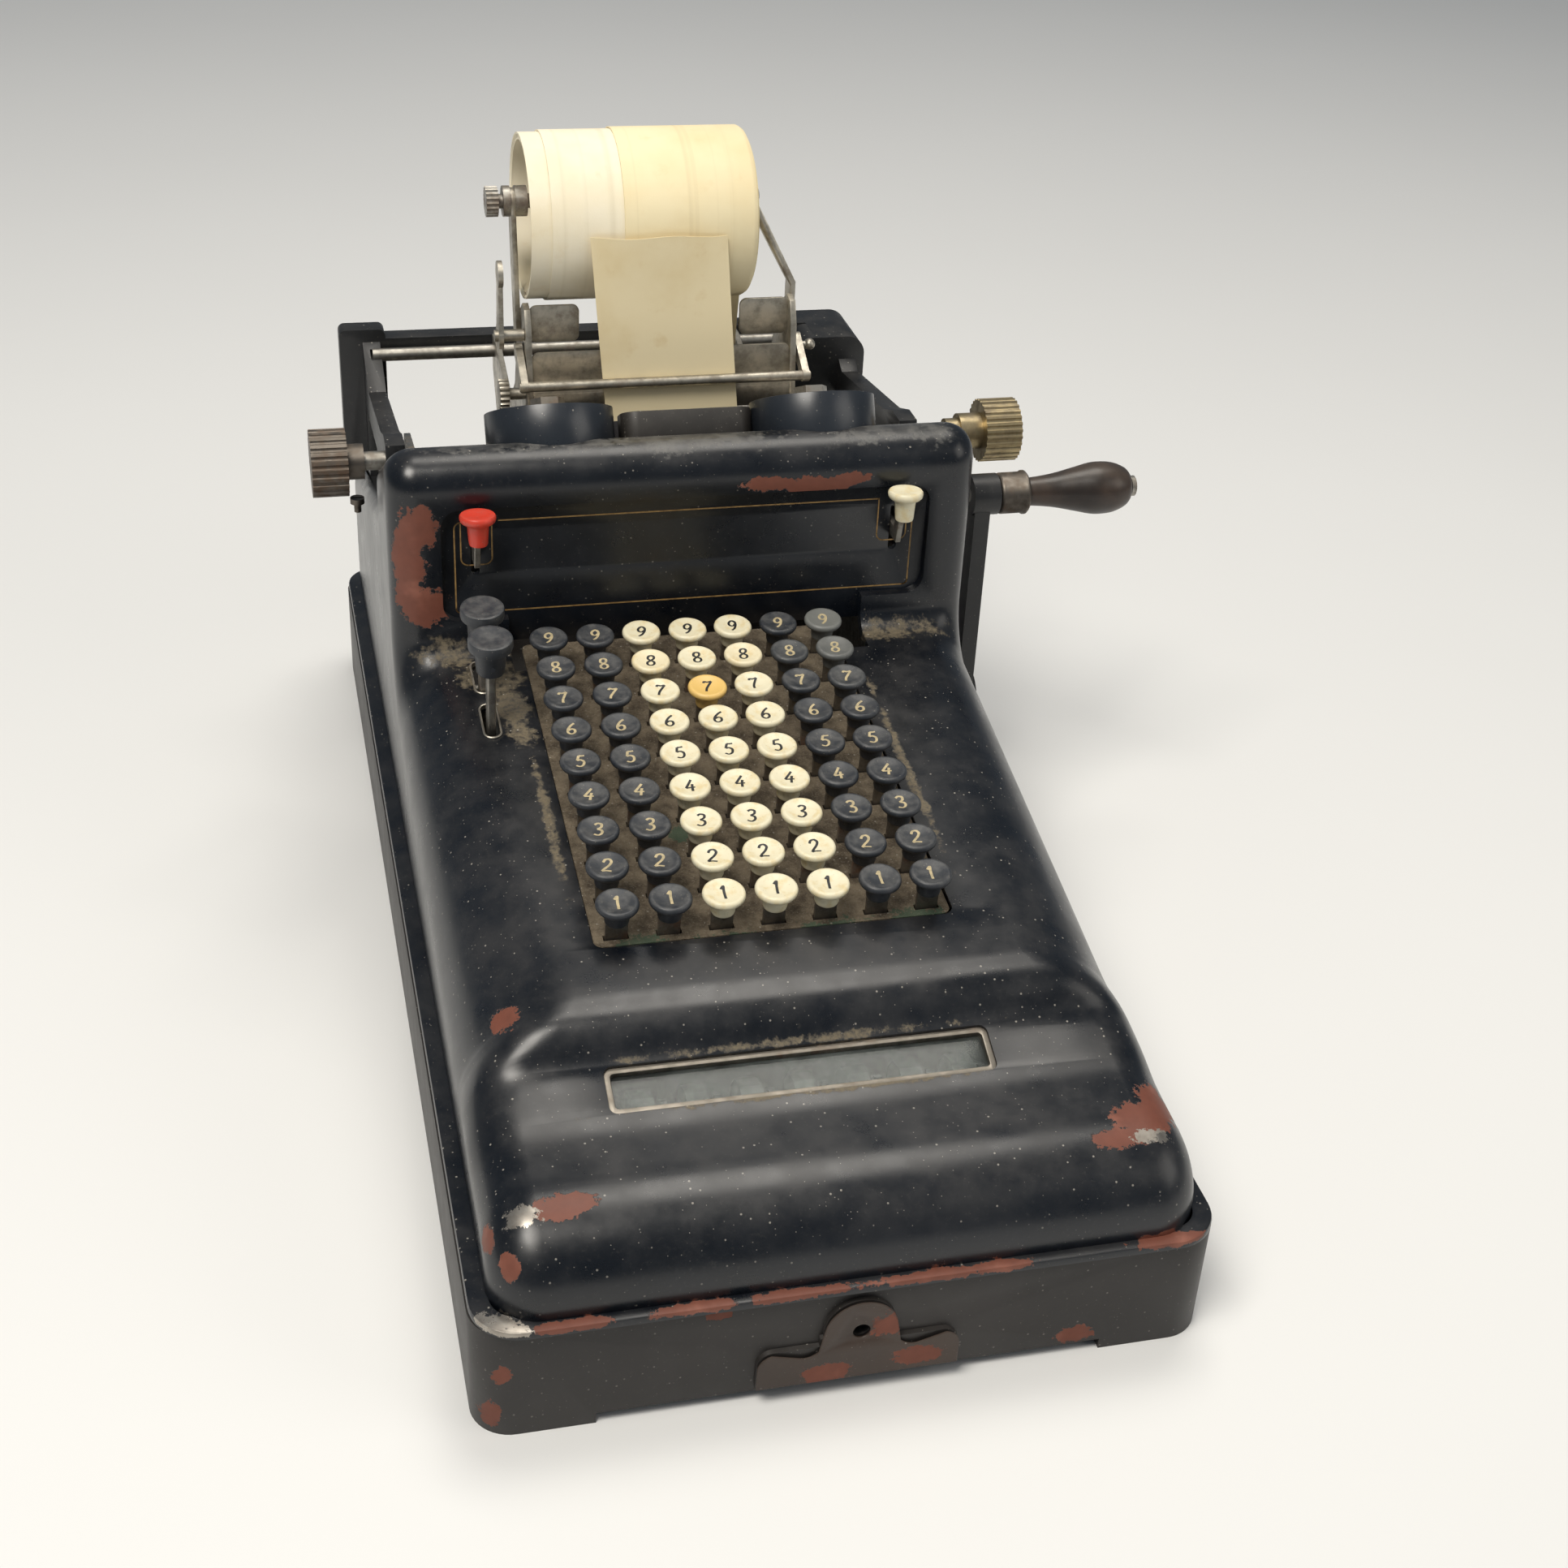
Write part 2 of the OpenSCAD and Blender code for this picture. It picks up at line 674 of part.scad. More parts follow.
module dial_shaft() {
    x = key_x + key_cols * col_pitch / 2 + 5;
    color([0.6, 0.58, 0.54]) {
        cross_bar(dial_shaft_d, -x - 7, x, dial_y, dial_z);
        for (px = [-x - 7, x - 3]) side_plate(px, 3, [
            [dial_y - 8, floor_z + floor_t], [dial_y + 30, floor_z + floor_t], [dial_y + 8, dial_z + 3],
            [dial_y + 4, dial_z + 7], [dial_y - 4, dial_z + 7], [dial_y - 8, dial_z + 3]
        ]);
    }
}

// Crank: shaft through both side frames with its drive cams, bent arm, pin and turned grip
arm_x = half_w + lip_w + 3;
arm_t = 10;
module crank_shaft() {
    color([0.5, 0.49, 0.46]) {
        cross_bar(crank_shaft_d, -frame_x - frame_t - 4, arm_x + arm_t, crank_y, crank_z);
        for (x = [-72, 72]) translate([x, crank_y, crank_z]) rotate([0, 90, 0]) linear_extrude(5) {
            circle(17);
            rotate(30) translate([17, 0]) circle(10);
        }
    }
}

module crank_arm() {
    color([0.11, 0.11, 0.12]) difference() {
        union() {
            translate([arm_x, crank_y, crank_z]) rotate([0, 90, 0]) cylinder(d = 27, h = arm_t);
            hull() {
                translate([arm_x + 1, crank_y, crank_z]) rotate([0, 90, 0]) cylinder(d = 22, h = arm_t - 3, $fn = 32);
                translate([arm_x + 2, crank_y, crank_z + crank_len]) rotate([0, 90, 0])
                    cylinder(d = 14, h = arm_t - 3, $fn = 32);
            }
            translate([arm_x + 1, crank_y, crank_z + crank_len]) rotate([0, 90, 0]) cylinder(d = 18, h = arm_t + 2);
        }
        cross_bar(crank_shaft_d, arm_x - over, arm_x + arm_t + over, crank_y, crank_z);
        cross_bar(6, arm_x - over, arm_x + arm_t + 5, crank_y, crank_z + crank_len);
    }
}

grip_x = arm_x + arm_t + 3.4;
module crank_pin() {
    color([0.55, 0.53, 0.5]) {
        cross_bar(6, arm_x + 1, grip_x + grip_l - 3, crank_y, crank_z + crank_len);
        cross_bar(9, grip_x + grip_l - 3, grip_x + grip_l - 1, crank_y, crank_z + crank_len);
    }
}

module crank_grip() {
    l = grip_l;
    r = grip_d / 2;
    color([0.14, 0.11, 0.1]) translate([grip_x, crank_y, crank_z + crank_len]) rotate([0, 90, 0])
        rotate_extrude() polygon([
            [3 + run_gap, 0], [r * 0.72, 0], [r * 0.78, 1.5], [r * 0.78, 11], [r * 0.84, 12.5], [r * 0.6, 14],
            [r * 0.56, 17], [r * 0.66, 26], [r * 0.86, 36], [r * 0.98, 43], [r, 48], [r * 0.94, 54],
            [r * 0.74, l - 3.5], [r * 0.56, l - 1], [5, l], [5, l - 4], [3 + run_gap, l - 4]
        ]);
}

// Type bars, one for each printing column, guided on two rods that pass through their slots
bar_pitch = 5.6;
bar_travel = 14;
module type_bars() {
    y = type_bar_y;
    color([0.52, 0.5, 0.46]) for (i = [-3.5:3.5]) difference() {
        side_plate(unit_x + i * bar_pitch - 1.2, 2.4, [
            [y - 6, 108], [y + 6, 108], [y + 6, 158], [y + 9, 160], [y + 9, 170], [y + 6, 172], [y - 6, 172]
        ]);
        for (p = guide_rods) side_plate(unit_x + i * bar_pitch - 2, 4, [
            [y - rod_d / 2 - run_gap, p[1] - rod_d / 2 - bar_travel - 0.3],
            [y + rod_d / 2 + run_gap, p[1] - rod_d / 2 - bar_travel - 0.3],
            [y + rod_d / 2 + run_gap, p[1] + rod_d / 2 + 0.1],
            [y - rod_d / 2 - run_gap, p[1] + rod_d / 2 + 0.1]
        ]);
    }
}

module type_guard() {
    color([0.1, 0.1, 0.11]) translate([unit_x + 1.5, guard_y, deck_height(guard_y)]) rotate([-deck_tilt, 0, 0])
        difference() {
            rounded_plate(guard_w, guard_l, 7, guard_h);
            translate([0, 0, -over]) rounded_plate(guard_w - 5, guard_l - 5, 4.5, guard_h - 1.5);
        }
}

// Ribbon cups, tilted with the deck, and the spools with their wound ribbon
cup_h = 17;
cup_t = 1.4;
module spool_cup(side) {
    color([0.1, 0.11, 0.13]) tilted_cup(side) translate([0, 0, -cup_h]) difference() {
        cylinder(d = cup_d, h = cup_h);
        translate([0, 0, cup_t]) cylinder(d = cup_d - 2 * cup_t, h = cup_h);
        translate([0, 0, -over]) cylinder(d = 5 + 2 * run_gap, h = 4);
        translate([-side * 14.5 - 6, 15, cup_t]) cube([12, 12, cup_h]);
    }
}

module left_spool_cup() spool_cup(-1);
module right_spool_cup() spool_cup(1);

module ribbon_spool(side) {
    tilted_cup(side) translate([0, 0, -cup_h + cup_t + 0.8]) {
        cylinder(d = 46, h = 0.8);
        cylinder(d = 40, h = 12.6);
        translate([0, 0, 12.6]) cylinder(d = 46, h = 0.8);
        cylinder(d = 9, h = 16);
        translate([0, 0, 15.5]) cylinder(d = 14, h = 4.5, $fn = 6);
        translate([0, 0, -12]) cylinder(d = 5, h = 13);
    }
}

module left_spool() {
    color([0.4, 0.3, 0.25]) ribbon_spool(-1);
}

module right_spool() {
    color([0.3, 0.3, 0.3]) ribbon_spool(1);
}

// Ribbon between the two spools, behind the guard
ribbon_w = 11;
ribbon_t = 0.3;
module ribbon_span() {
    x = cup_spacing / 2;
    color([0.13, 0.12, 0.14]) translate([unit_x, cup_y, cup_z]) rotate([-deck_tilt, 0, 0])
        translate([0, 0, -13.6]) linear_extrude(ribbon_w) polygon([
            [-x, 20.3], [-30, 22.5], [30, 22.5], [x, 20.3], [x, 20.3 + ribbon_t], [30, 22.5 + ribbon_t],
            [-30, 22.5 + ribbon_t], [-x, 20.3 + ribbon_t]
        ]);
}

// Platen on its long shaft, with a feed knob at each end
module platen() {
    color([0.18, 0.17, 0.16]) difference() {
        cross_bar(platen_d, carriage_x - plate_gap / 2 + 1.5, carriage_x + plate_gap / 2 - 1.5, platen_y, platen_z);
        cross_bar(platen_shaft_d, unit_x - plate_gap, unit_x + plate_gap, platen_y, platen_z);
    }
}

shaft_left = -134;
shaft_right = 149;
module platen_shaft() {
    color([0.62, 0.6, 0.55]) cross_bar(platen_shaft_d, shaft_left, shaft_right, platen_y, platen_z);
}

module ribbed_knob(d, w, ribs) {
    difference() {
        cylinder(d = d, h = w);
        for (i = [0:ribs - 1]) rotate(i * 360 / ribs) translate([d / 2 + 0.4, 0, -over])
            cylinder(d = 2.4, h = w + 2 * over, $fn = 12);
    }
}

module left_platen_knob() {
    color([0.2, 0.2, 0.19]) translate([shaft_left, platen_y, platen_z]) rotate([0, 90, 0]) difference() {
        union() {
            translate([0, 0, -13]) ribbed_knob(knob_d, 15, 24);
            cylinder(d = 15, h = 9);
            translate([5, 0, 5.5]) rotate([0, -90, 0]) translate([0, 0, -14]) slotted_screw(6, 2.4, 3, 4);
        }
        cylinder(d = platen_shaft_d, h = 20);
    }
}

module right_platen_knob() {
    color([0.42, 0.36, 0.24]) translate([shaft_right, platen_y, platen_z]) rotate([0, 90, 0]) difference() {
        union() {
            translate([0, 0, -2]) ribbed_knob(knob_d - 0.5, 16.5, 28);
            translate([0, 0, -12]) cylinder(d = 16, h = 11);
            translate([0, 0, -18]) cylinder(d = 12, h = 7);
        }
        translate([0, 0, -20]) cylinder(d = platen_shaft_d, h = 20);
    }
}

// Frame casting behind the unit: side arms, rear bar and the rounded end box
bar_y1 = rail_y + 6;
bar_y2 = 236;
arm_in = 108;
arm_out = 116;
arm_outline = [
    [platen_y - 8, platen_z - 9], [platen_y + 6, platen_z - 13], [170, 120], [bar_y2, 106], [bar_y2, 186],
    [bar_y1, 186], [200, 172], [platen_y + 20, platen_z + 4], [platen_y + 6, platen_z + 9],
    [platen_y - 6, platen_z + 9]
];
module print_frame() {
    color([0.15, 0.15, 0.15]) difference() {
        union() {
            for (x = [-arm_out, arm_in]) side_plate(x, arm_out - arm_in, arm_outline);
            translate([-14.5, 0, 184]) upright_slab(224, 7, 3, bar_y1, bar_y2);
            translate([-116, 0, 157]) upright_slab(21, 70, 3, bar_y1, bar_y2);
            translate([103.5, 0, 170.25]) upright_slab(34, 33.5, 9, bar_y1 - 19, bar_y2 + 8);
            for (s = [-1, 1], y = [195, 220])
                translate([s > 0 ? frame_x + frame_t : -arm_in - 1, y, 112 + (220 - y) / 4]) rotate([0, 90, 0])
                    cylinder(d = 11, h = arm_in - frame_x - frame_t + 1);
        }
        cross_bar(platen_shaft_d + 2 * run_gap, -arm_out - over, arm_out + over, platen_y, platen_z);
        cross_bar(rod_d, -113, 97, rail_y, rail_z);
        for (s = [-1, 1]) side_plate(s > 0 ? arm_in - over : -arm_out - over, arm_out - arm_in + 2 * over, [
            [150, 152], [178, 132], [218, 122], [218, 160], [200, 158], [160, 162]
        ]);
    }
}

// Carriage: side plates round the platen, with the guides for the paper
plate_outline = [
    [platen_y - 10, platen_z - 10], [platen_y + 8, platen_z - 16], [150, 136], [200, 134], [rail_y + 5.5, 172],
    [rail_y + 5.5, 188], [rail_y - 6, 188], [170, 176], [146, 196], [134, 231], [126, 237], [119, 242],
    [113, 241], [109, 232], [106, 206], [platen_y - 8, platen_z + 13]
];
carriage_t = 2.5;
module carriage_plate(x) {
    difference() {
        side_plate(x, carriage_t, plate_outline);
        cross_bar(platen_shaft_d + 2 * run_gap, x - over, x + carriage_t + over, platen_y, platen_z);
        cross_bar(rod_d, x - over, x + carriage_t + over, rail_y, rail_z);
        for (p = rod_places) cross_bar(rod_d, x - over, x + carriage_t + over, p[0], p[1]);
    }
}

carriage_x = unit_x - 2; // the plates stand a little to the left of the strip
left_plate_x = carriage_x - plate_gap / 2 - carriage_t;
right_plate_x = carriage_x + plate_gap / 2;
module left_carriage_plate() {
    color([0.6, 0.57, 0.5]) {
        carriage_plate(left_plate_x);
        translate([left_plate_x - 11, 114, 204]) rotate([0, 90, 0]) ribbed_knob(13, 4, 18);
        cross_bar(5, left_plate_x - 8, left_plate_x + 0.5, 114, 204);
    }
}

module right_carriage_plate() {
    color([0.6, 0.57, 0.5]) {
        carriage_plate(right_plate_x);
        for (p = [[125, 216.5, 10.5], [123, 211.4, 6]]) translate([right_plate_x, p[0], p[1]]) {
            rotate([0, 90, 0]) cylinder(d = 3, h = p[2] + carriage_t);
            translate([p[2] + carriage_t, 0, 0]) sphere(d = 5);
        }
    }
}

// Two curved plates under the roll that guide the paper's edges
module paper_guides() {
    color([0.62, 0.58, 0.5]) for (x = [carriage_x - plate_gap / 2, carriage_x + plate_gap / 2 - 21]) {
        translate([x + 10.5, 0, 233.5]) upright_slab(21, 16, 3, 116, 117.5);
        translate([x + 2, 116, 226]) cube([17, 12, 1.5]);
    }
}

module guide_plate() {
    color([0.62, 0.58, 0.5]) {
        translate([carriage_x, 0, 215.5]) upright_slab(plate_gap, 16, 3, 109, 110.4);
        translate([carriage_x, 0, 202]) upright_slab(plate_gap, 9, 2, 105.6, 107);
        translate([carriage_x - plate_gap / 2, 105.8, 205.6]) cube([plate_gap, 4.4, 3.4]);
    }
}

// Paper bail: a rod across the strip on two short arms outside the plates
bail_y = 99.5;
bail_z = 212.6;
bail_pivot = [118, 222];
module paper_bail() {
    x1 = left_plate_x - 3.5;
    x2 = right_plate_x + carriage_t + 1;
    color([0.62, 0.59, 0.53]) {
        cross_bar(4.2, x1 - 0.5, x2 + 3.5, bail_y, bail_z);
        cross_bar(4, x1, left_plate_x - 0.2, bail_pivot[0], bail_pivot[1]);
        cross_bar(4, right_plate_x + carriage_t + 0.2, x2 + 3, bail_pivot[0], bail_pivot[1]);
        for (x = [x1, x2]) hull() {
            translate([x, bail_y, bail_z]) rotate([0, 90, 0]) cylinder(d = 5, h = 3, $fn = 32);
            translate([x, bail_pivot[0], bail_pivot[1]]) rotate([0, 90, 0]) cylinder(d = 6, h = 3, $fn = 32);
        }
    }
}

// Paper release lever with its round thumb pad, on the left plate
lever_pivot = [114, 230];
module release_lever() {
    x = left_plate_x - 11;
    y = lever_pivot[0];
    z = lever_pivot[1];
    color([0.56, 0.54, 0.5]) {
        side_plate(x, 2, [[y - 5, z - 4], [y + 5, z - 4], [y + 1, z + 26], [y - 4, z + 26]]);
        translate([x, y - 1.5, z + 27]) rotate([0, 90, 0]) cylinder(d = 11, h = 2);
        translate([x, y, z]) rotate([0, 90, 0]) cylinder(d = 11, h = 2);
        cross_bar(5, x - 1.5, left_plate_x - 0.2, y, z);
    }
}

// Arms that hold the spindle; the paper roll hangs on the spindle's core
roll_left = -54;
roll_right = 42;
spindle_z = roll_z + 6.5;
core_d = 16;
roll_bore_r = core_d / 2 + spindle_z - roll_z + run_gap;
arm_w = 10;
roll_foot_y = 122;
roll_foot_z = 224;
module roll_arms() {
    x = left_plate_x - 2;
    color([0.56, 0.54, 0.5]) difference() {
        union() {
            side_plate(x, 2, [
                [roll_foot_y, roll_foot_z], [roll_foot_y + arm_w, roll_foot_z], [roll_y + arm_w / 2, spindle_z],
                [roll_y - arm_w / 2, spindle_z]
            ]);
            translate([x, roll_y, spindle_z]) rotate([0, 90, 0]) cylinder(d = arm_w + 1, h = 2);
            roll_arm(right_plate_x + carriage_t, roll_right + 2);
        }
        cross_bar(6, roll_left - 20, roll_right + 20, roll_y, spindle_z);
    }
}

// The right arm leans in from the outside of its plate to the end of the roll
module roll_arm(foot_x, top_x) {
    bend_z = 244;
    translate([foot_x, roll_foot_y, roll_foot_z]) cube([2, arm_w, bend_z + 2 - roll_foot_z]);
    hull() {
        translate([foot_x, roll_foot_y, bend_z]) cube([2, arm_w, 2]);
        translate([top_x, roll_y - arm_w / 2, spindle_z - 4]) cube([2, arm_w, 4]);
    }
    translate([top_x, roll_y, spindle_z]) rotate([0, 90, 0]) cylinder(d = arm_w + 1, h = 2);
}

module roll_spindle() {
    knurl_x = roll_left - 14;
    color([0.55, 0.53, 0.48]) {
        cross_bar(6, knurl_x, roll_right + 6, roll_y, spindle_z);
        cross_bar(12.6, left_plate_x - 5, left_plate_x - 2, roll_y, spindle_z);
        cross_bar(12.6, left_plate_x, left_plate_x + 5, roll_y, spindle_z);
        cross_bar(core_d, roll_right - paper_w, roll_right, roll_y, spindle_z);
        translate([knurl_x, roll_y, spindle_z]) rotate([0, 90, 0]) ribbed_knob(13, 5, 20);
    }
}

// Paper roll: a tight roll, with the inner layers pushed out to the left in two steps
roll_step = 9;
module paper_roll() {
    r = roll_d / 2;
    a = roll_right - paper_w;
    color([0.93, 0.87, 0.7]) translate([0, roll_y, roll_z]) rotate([90, 0, 90]) rotate_extrude_x() polygon([
        [roll_bore_r, roll_right - 0.5], [r - 3, roll_right - 0.5], [r, roll_right - 4],
        [r, a], [r - 0.8, a - 0.8], [r - 0.8, a - roll_step], [r - 1.8, a - roll_step],
        [r - 1.8, roll_left + 0.5], [r - 4.4, roll_left + 0.5], [r - 4.4, a + 3], [roll_bore_r, a + 3]
    ]);
}

// Turns an outline of radius and length about the X axis
module rotate_extrude_x() {
    rotate_extrude($fn = 96) children();
}

// The strip leaves the roll behind, passes under the platen and stands up in front of the roll
strip_t = 0.4;
strip_lean = 5;
strip_x = unit_x + 12.2; // middle of the strip where it leaves the roll
wrap_r = platen_d / 2 + 0.3;
strip_line = concat(
    [[152, 233], [147, 205], [134, 180]],
    [for (a = [-130:15:20]) [platen_y - wrap_r * cos(a), platen_z + wrap_r * sin(a)]],
    [[101.2, 192], [102.4, 212.6], [103, 230], [103.2, 252], [101.8, 274]]
);
function strip_run(i) = i == 0 ? 0 : strip_run(i - 1) + norm(strip_line[i] - strip_line[i - 1]);
module paper_strip() {
    n = len(strip_line);
    function outer(i) = let (
        a = strip_line[max(i - 1, 0)],
        b = strip_line[min(i + 1, n - 1)],
        d = (b - a) / norm(b - a)
    ) strip_line[i] + strip_t * [-d[1], d[0]];
    function corners(i) = let (
        x1 = strip_x - strip_run(i) * tan(strip_lean) - paper_w / 2,
        x2 = x1 + paper_w
    ) [concat(x1, strip_line[i]), concat(x2, strip_line[i]), concat(x2, outer(i)), concat(x1, outer(i))];
    color([0.94, 0.89, 0.74]) polyhedron([for (i = [0:n - 1]) each corners(i)], concat(
        [[0, 3, 2, 1], [4 * n - 4, 4 * n - 3, 4 * n - 2, 4 * n - 1]],
        [for (i = [0:n - 2], j = [0:3]) [4 * i + j, 4 * i + (j + 1) % 4, 4 * i + (j + 1) % 4 + 4]],
        [for (i = [0:n - 2], j = [0:3]) [4 * i + j, 4 * i + (j + 1) % 4 + 4, 4 * i + j + 4]]
    ));
}

base_pan();
case_cover();
case_screws();
window_bezel();
window_glass();
key_plate();
key_comb();
left_side_frame();
right_side_frame();
frame_rods();
dial_wheels();
dial_shaft();
white_keys_1();
white_keys_2();
white_keys_3();
white_keys_4();
white_keys_5();
white_keys_6();
white_keys_7();
white_keys_8();
white_keys_9();
black_keys_1();
black_keys_2();
black_keys_3();
black_keys_4();
black_keys_5();
black_keys_6();
black_keys_7();
black_keys_8();
black_keys_9();
total_key();
subtotal_key();
red_key();
repeat_key();
crank_arm();
crank_shaft();
crank_pin();
crank_grip();
type_bars();
type_guard();
left_spool_cup();
right_spool_cup();
left_spool();
right_spool();
ribbon_span();
platen();
platen_shaft();
left_platen_knob();
right_platen_knob();
print_frame();
left_carriage_plate();
right_carriage_plate();
paper_guides();
guide_plate();
paper_bail();
release_lever();
roll_arms();
roll_spindle();
paper_roll();
paper_strip();
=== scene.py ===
import json
import math
import random

import bmesh
import bpy
from mathutils import Matrix, Vector

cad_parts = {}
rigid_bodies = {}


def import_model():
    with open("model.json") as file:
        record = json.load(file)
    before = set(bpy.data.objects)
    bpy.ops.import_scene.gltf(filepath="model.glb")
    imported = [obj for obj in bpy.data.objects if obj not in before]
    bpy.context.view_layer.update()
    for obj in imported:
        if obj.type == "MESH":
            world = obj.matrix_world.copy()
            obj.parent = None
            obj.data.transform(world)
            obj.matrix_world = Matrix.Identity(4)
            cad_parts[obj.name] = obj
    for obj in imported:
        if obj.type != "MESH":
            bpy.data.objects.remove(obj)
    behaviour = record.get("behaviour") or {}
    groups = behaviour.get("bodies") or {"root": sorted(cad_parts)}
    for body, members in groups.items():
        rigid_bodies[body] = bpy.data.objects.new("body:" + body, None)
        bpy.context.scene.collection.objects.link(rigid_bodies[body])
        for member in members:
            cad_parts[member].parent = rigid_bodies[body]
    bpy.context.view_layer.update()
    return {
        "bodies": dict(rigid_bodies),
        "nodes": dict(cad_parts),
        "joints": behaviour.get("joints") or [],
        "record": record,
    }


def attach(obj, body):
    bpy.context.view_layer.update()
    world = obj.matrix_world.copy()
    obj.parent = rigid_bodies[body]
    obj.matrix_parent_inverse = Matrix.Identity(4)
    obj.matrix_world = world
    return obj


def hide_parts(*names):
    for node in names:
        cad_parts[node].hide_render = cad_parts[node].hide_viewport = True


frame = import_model()
NODES = frame["nodes"]
scene = bpy.context.scene
MM = 0.001
rng = random.Random(11)

# Sizes and places that the looks share with the part, in millimetres
# Cover over its base, the flange round it and the thickness of the sheet
CASE_W, CASE_L, BASE_H, LIP_W, LIP_T, COVER_T = 243.0, 528.0, 45.0, 6.0, 3.6, 2.5
# Cap of the front key in the middle column, slope of the keyboard, steps between keys
KEY_X, KEY_Y, KEY_Z, KEY_SLOPE = -3.65, -145.0, 122.0, 6.3
COL, ROW, PLATE_DROP = 19.05, 20.3, 17.0
# Rolled crest above the panel, and the deck behind it
CREST_Z, CREST_R, DECK_TILT = 210.0, 14.0, 30.0
# Panel: its face, how deep it is set in, and the thickness round it
PANEL_Y, RECESS, FRAME_T = 37.0, 4.5, 7.0
FACE_Y = PANEL_Y - RECESS
# Number window: middle, width, height and tilt
WINDOW_X, WINDOW_Y, WINDOW_Z, WINDOW_W, WINDOW_H, WINDOW_TILT = -6.0, -201.5, 85.0, 136.0, 18.0, 20.0
# Slots of the two tall keys at the left
TALL_X, TALL_SLOTS, TALL_SLOT_W, TALL_SLOT_L = -88.5, (14.2, -14.8), 6.4, 21.5
# Slots of the red and the white key in the panel
RED_X, REPEAT_X, SIDE_SLOT_Z, SIDE_SLOT_W, SIDE_SLOT_H = -87.2, 87.3, 169.5, 3.4, 21.0
# Printing unit
UNIT_X, PLATEN_Y, PLATEN_Z, PLATEN_D = 4.0, 110.0, 178.4, 25.0
CUP_Y, CUP_Z, CUP_D, CUP_GAP = 76.5, 211.2, 52.6, 111.0
# Paper roll: axis, radius, both ends, how far its layers step out, and its bore
ROLL_Y, ROLL_Z, ROLL_R = 140.0, 272.0, 35.3
ROLL_LEFT, ROLL_RIGHT, ROLL_STEP, ROLL_BORE = -54.0, 42.0, 9.0, 14.6
# Paper strip
STRIP_X, STRIP_W, STRIP_T, STRIP_LEAN = UNIT_X + 12.2, 57.0, 0.2, 5.0
# Crank
CRANK_Y, CRANK_Z, CRANK_LEN, GRIP_X, GRIP_BORE = 70.0, 66.0, 100.0, 143.9, 3.05
# Front boss: front face and middle of its hole
BOSS_Y, BOSS_HOLE_Z, BOSS_HOLE_R = -269.6, 28.8, 3.05


# Materials
M = {}


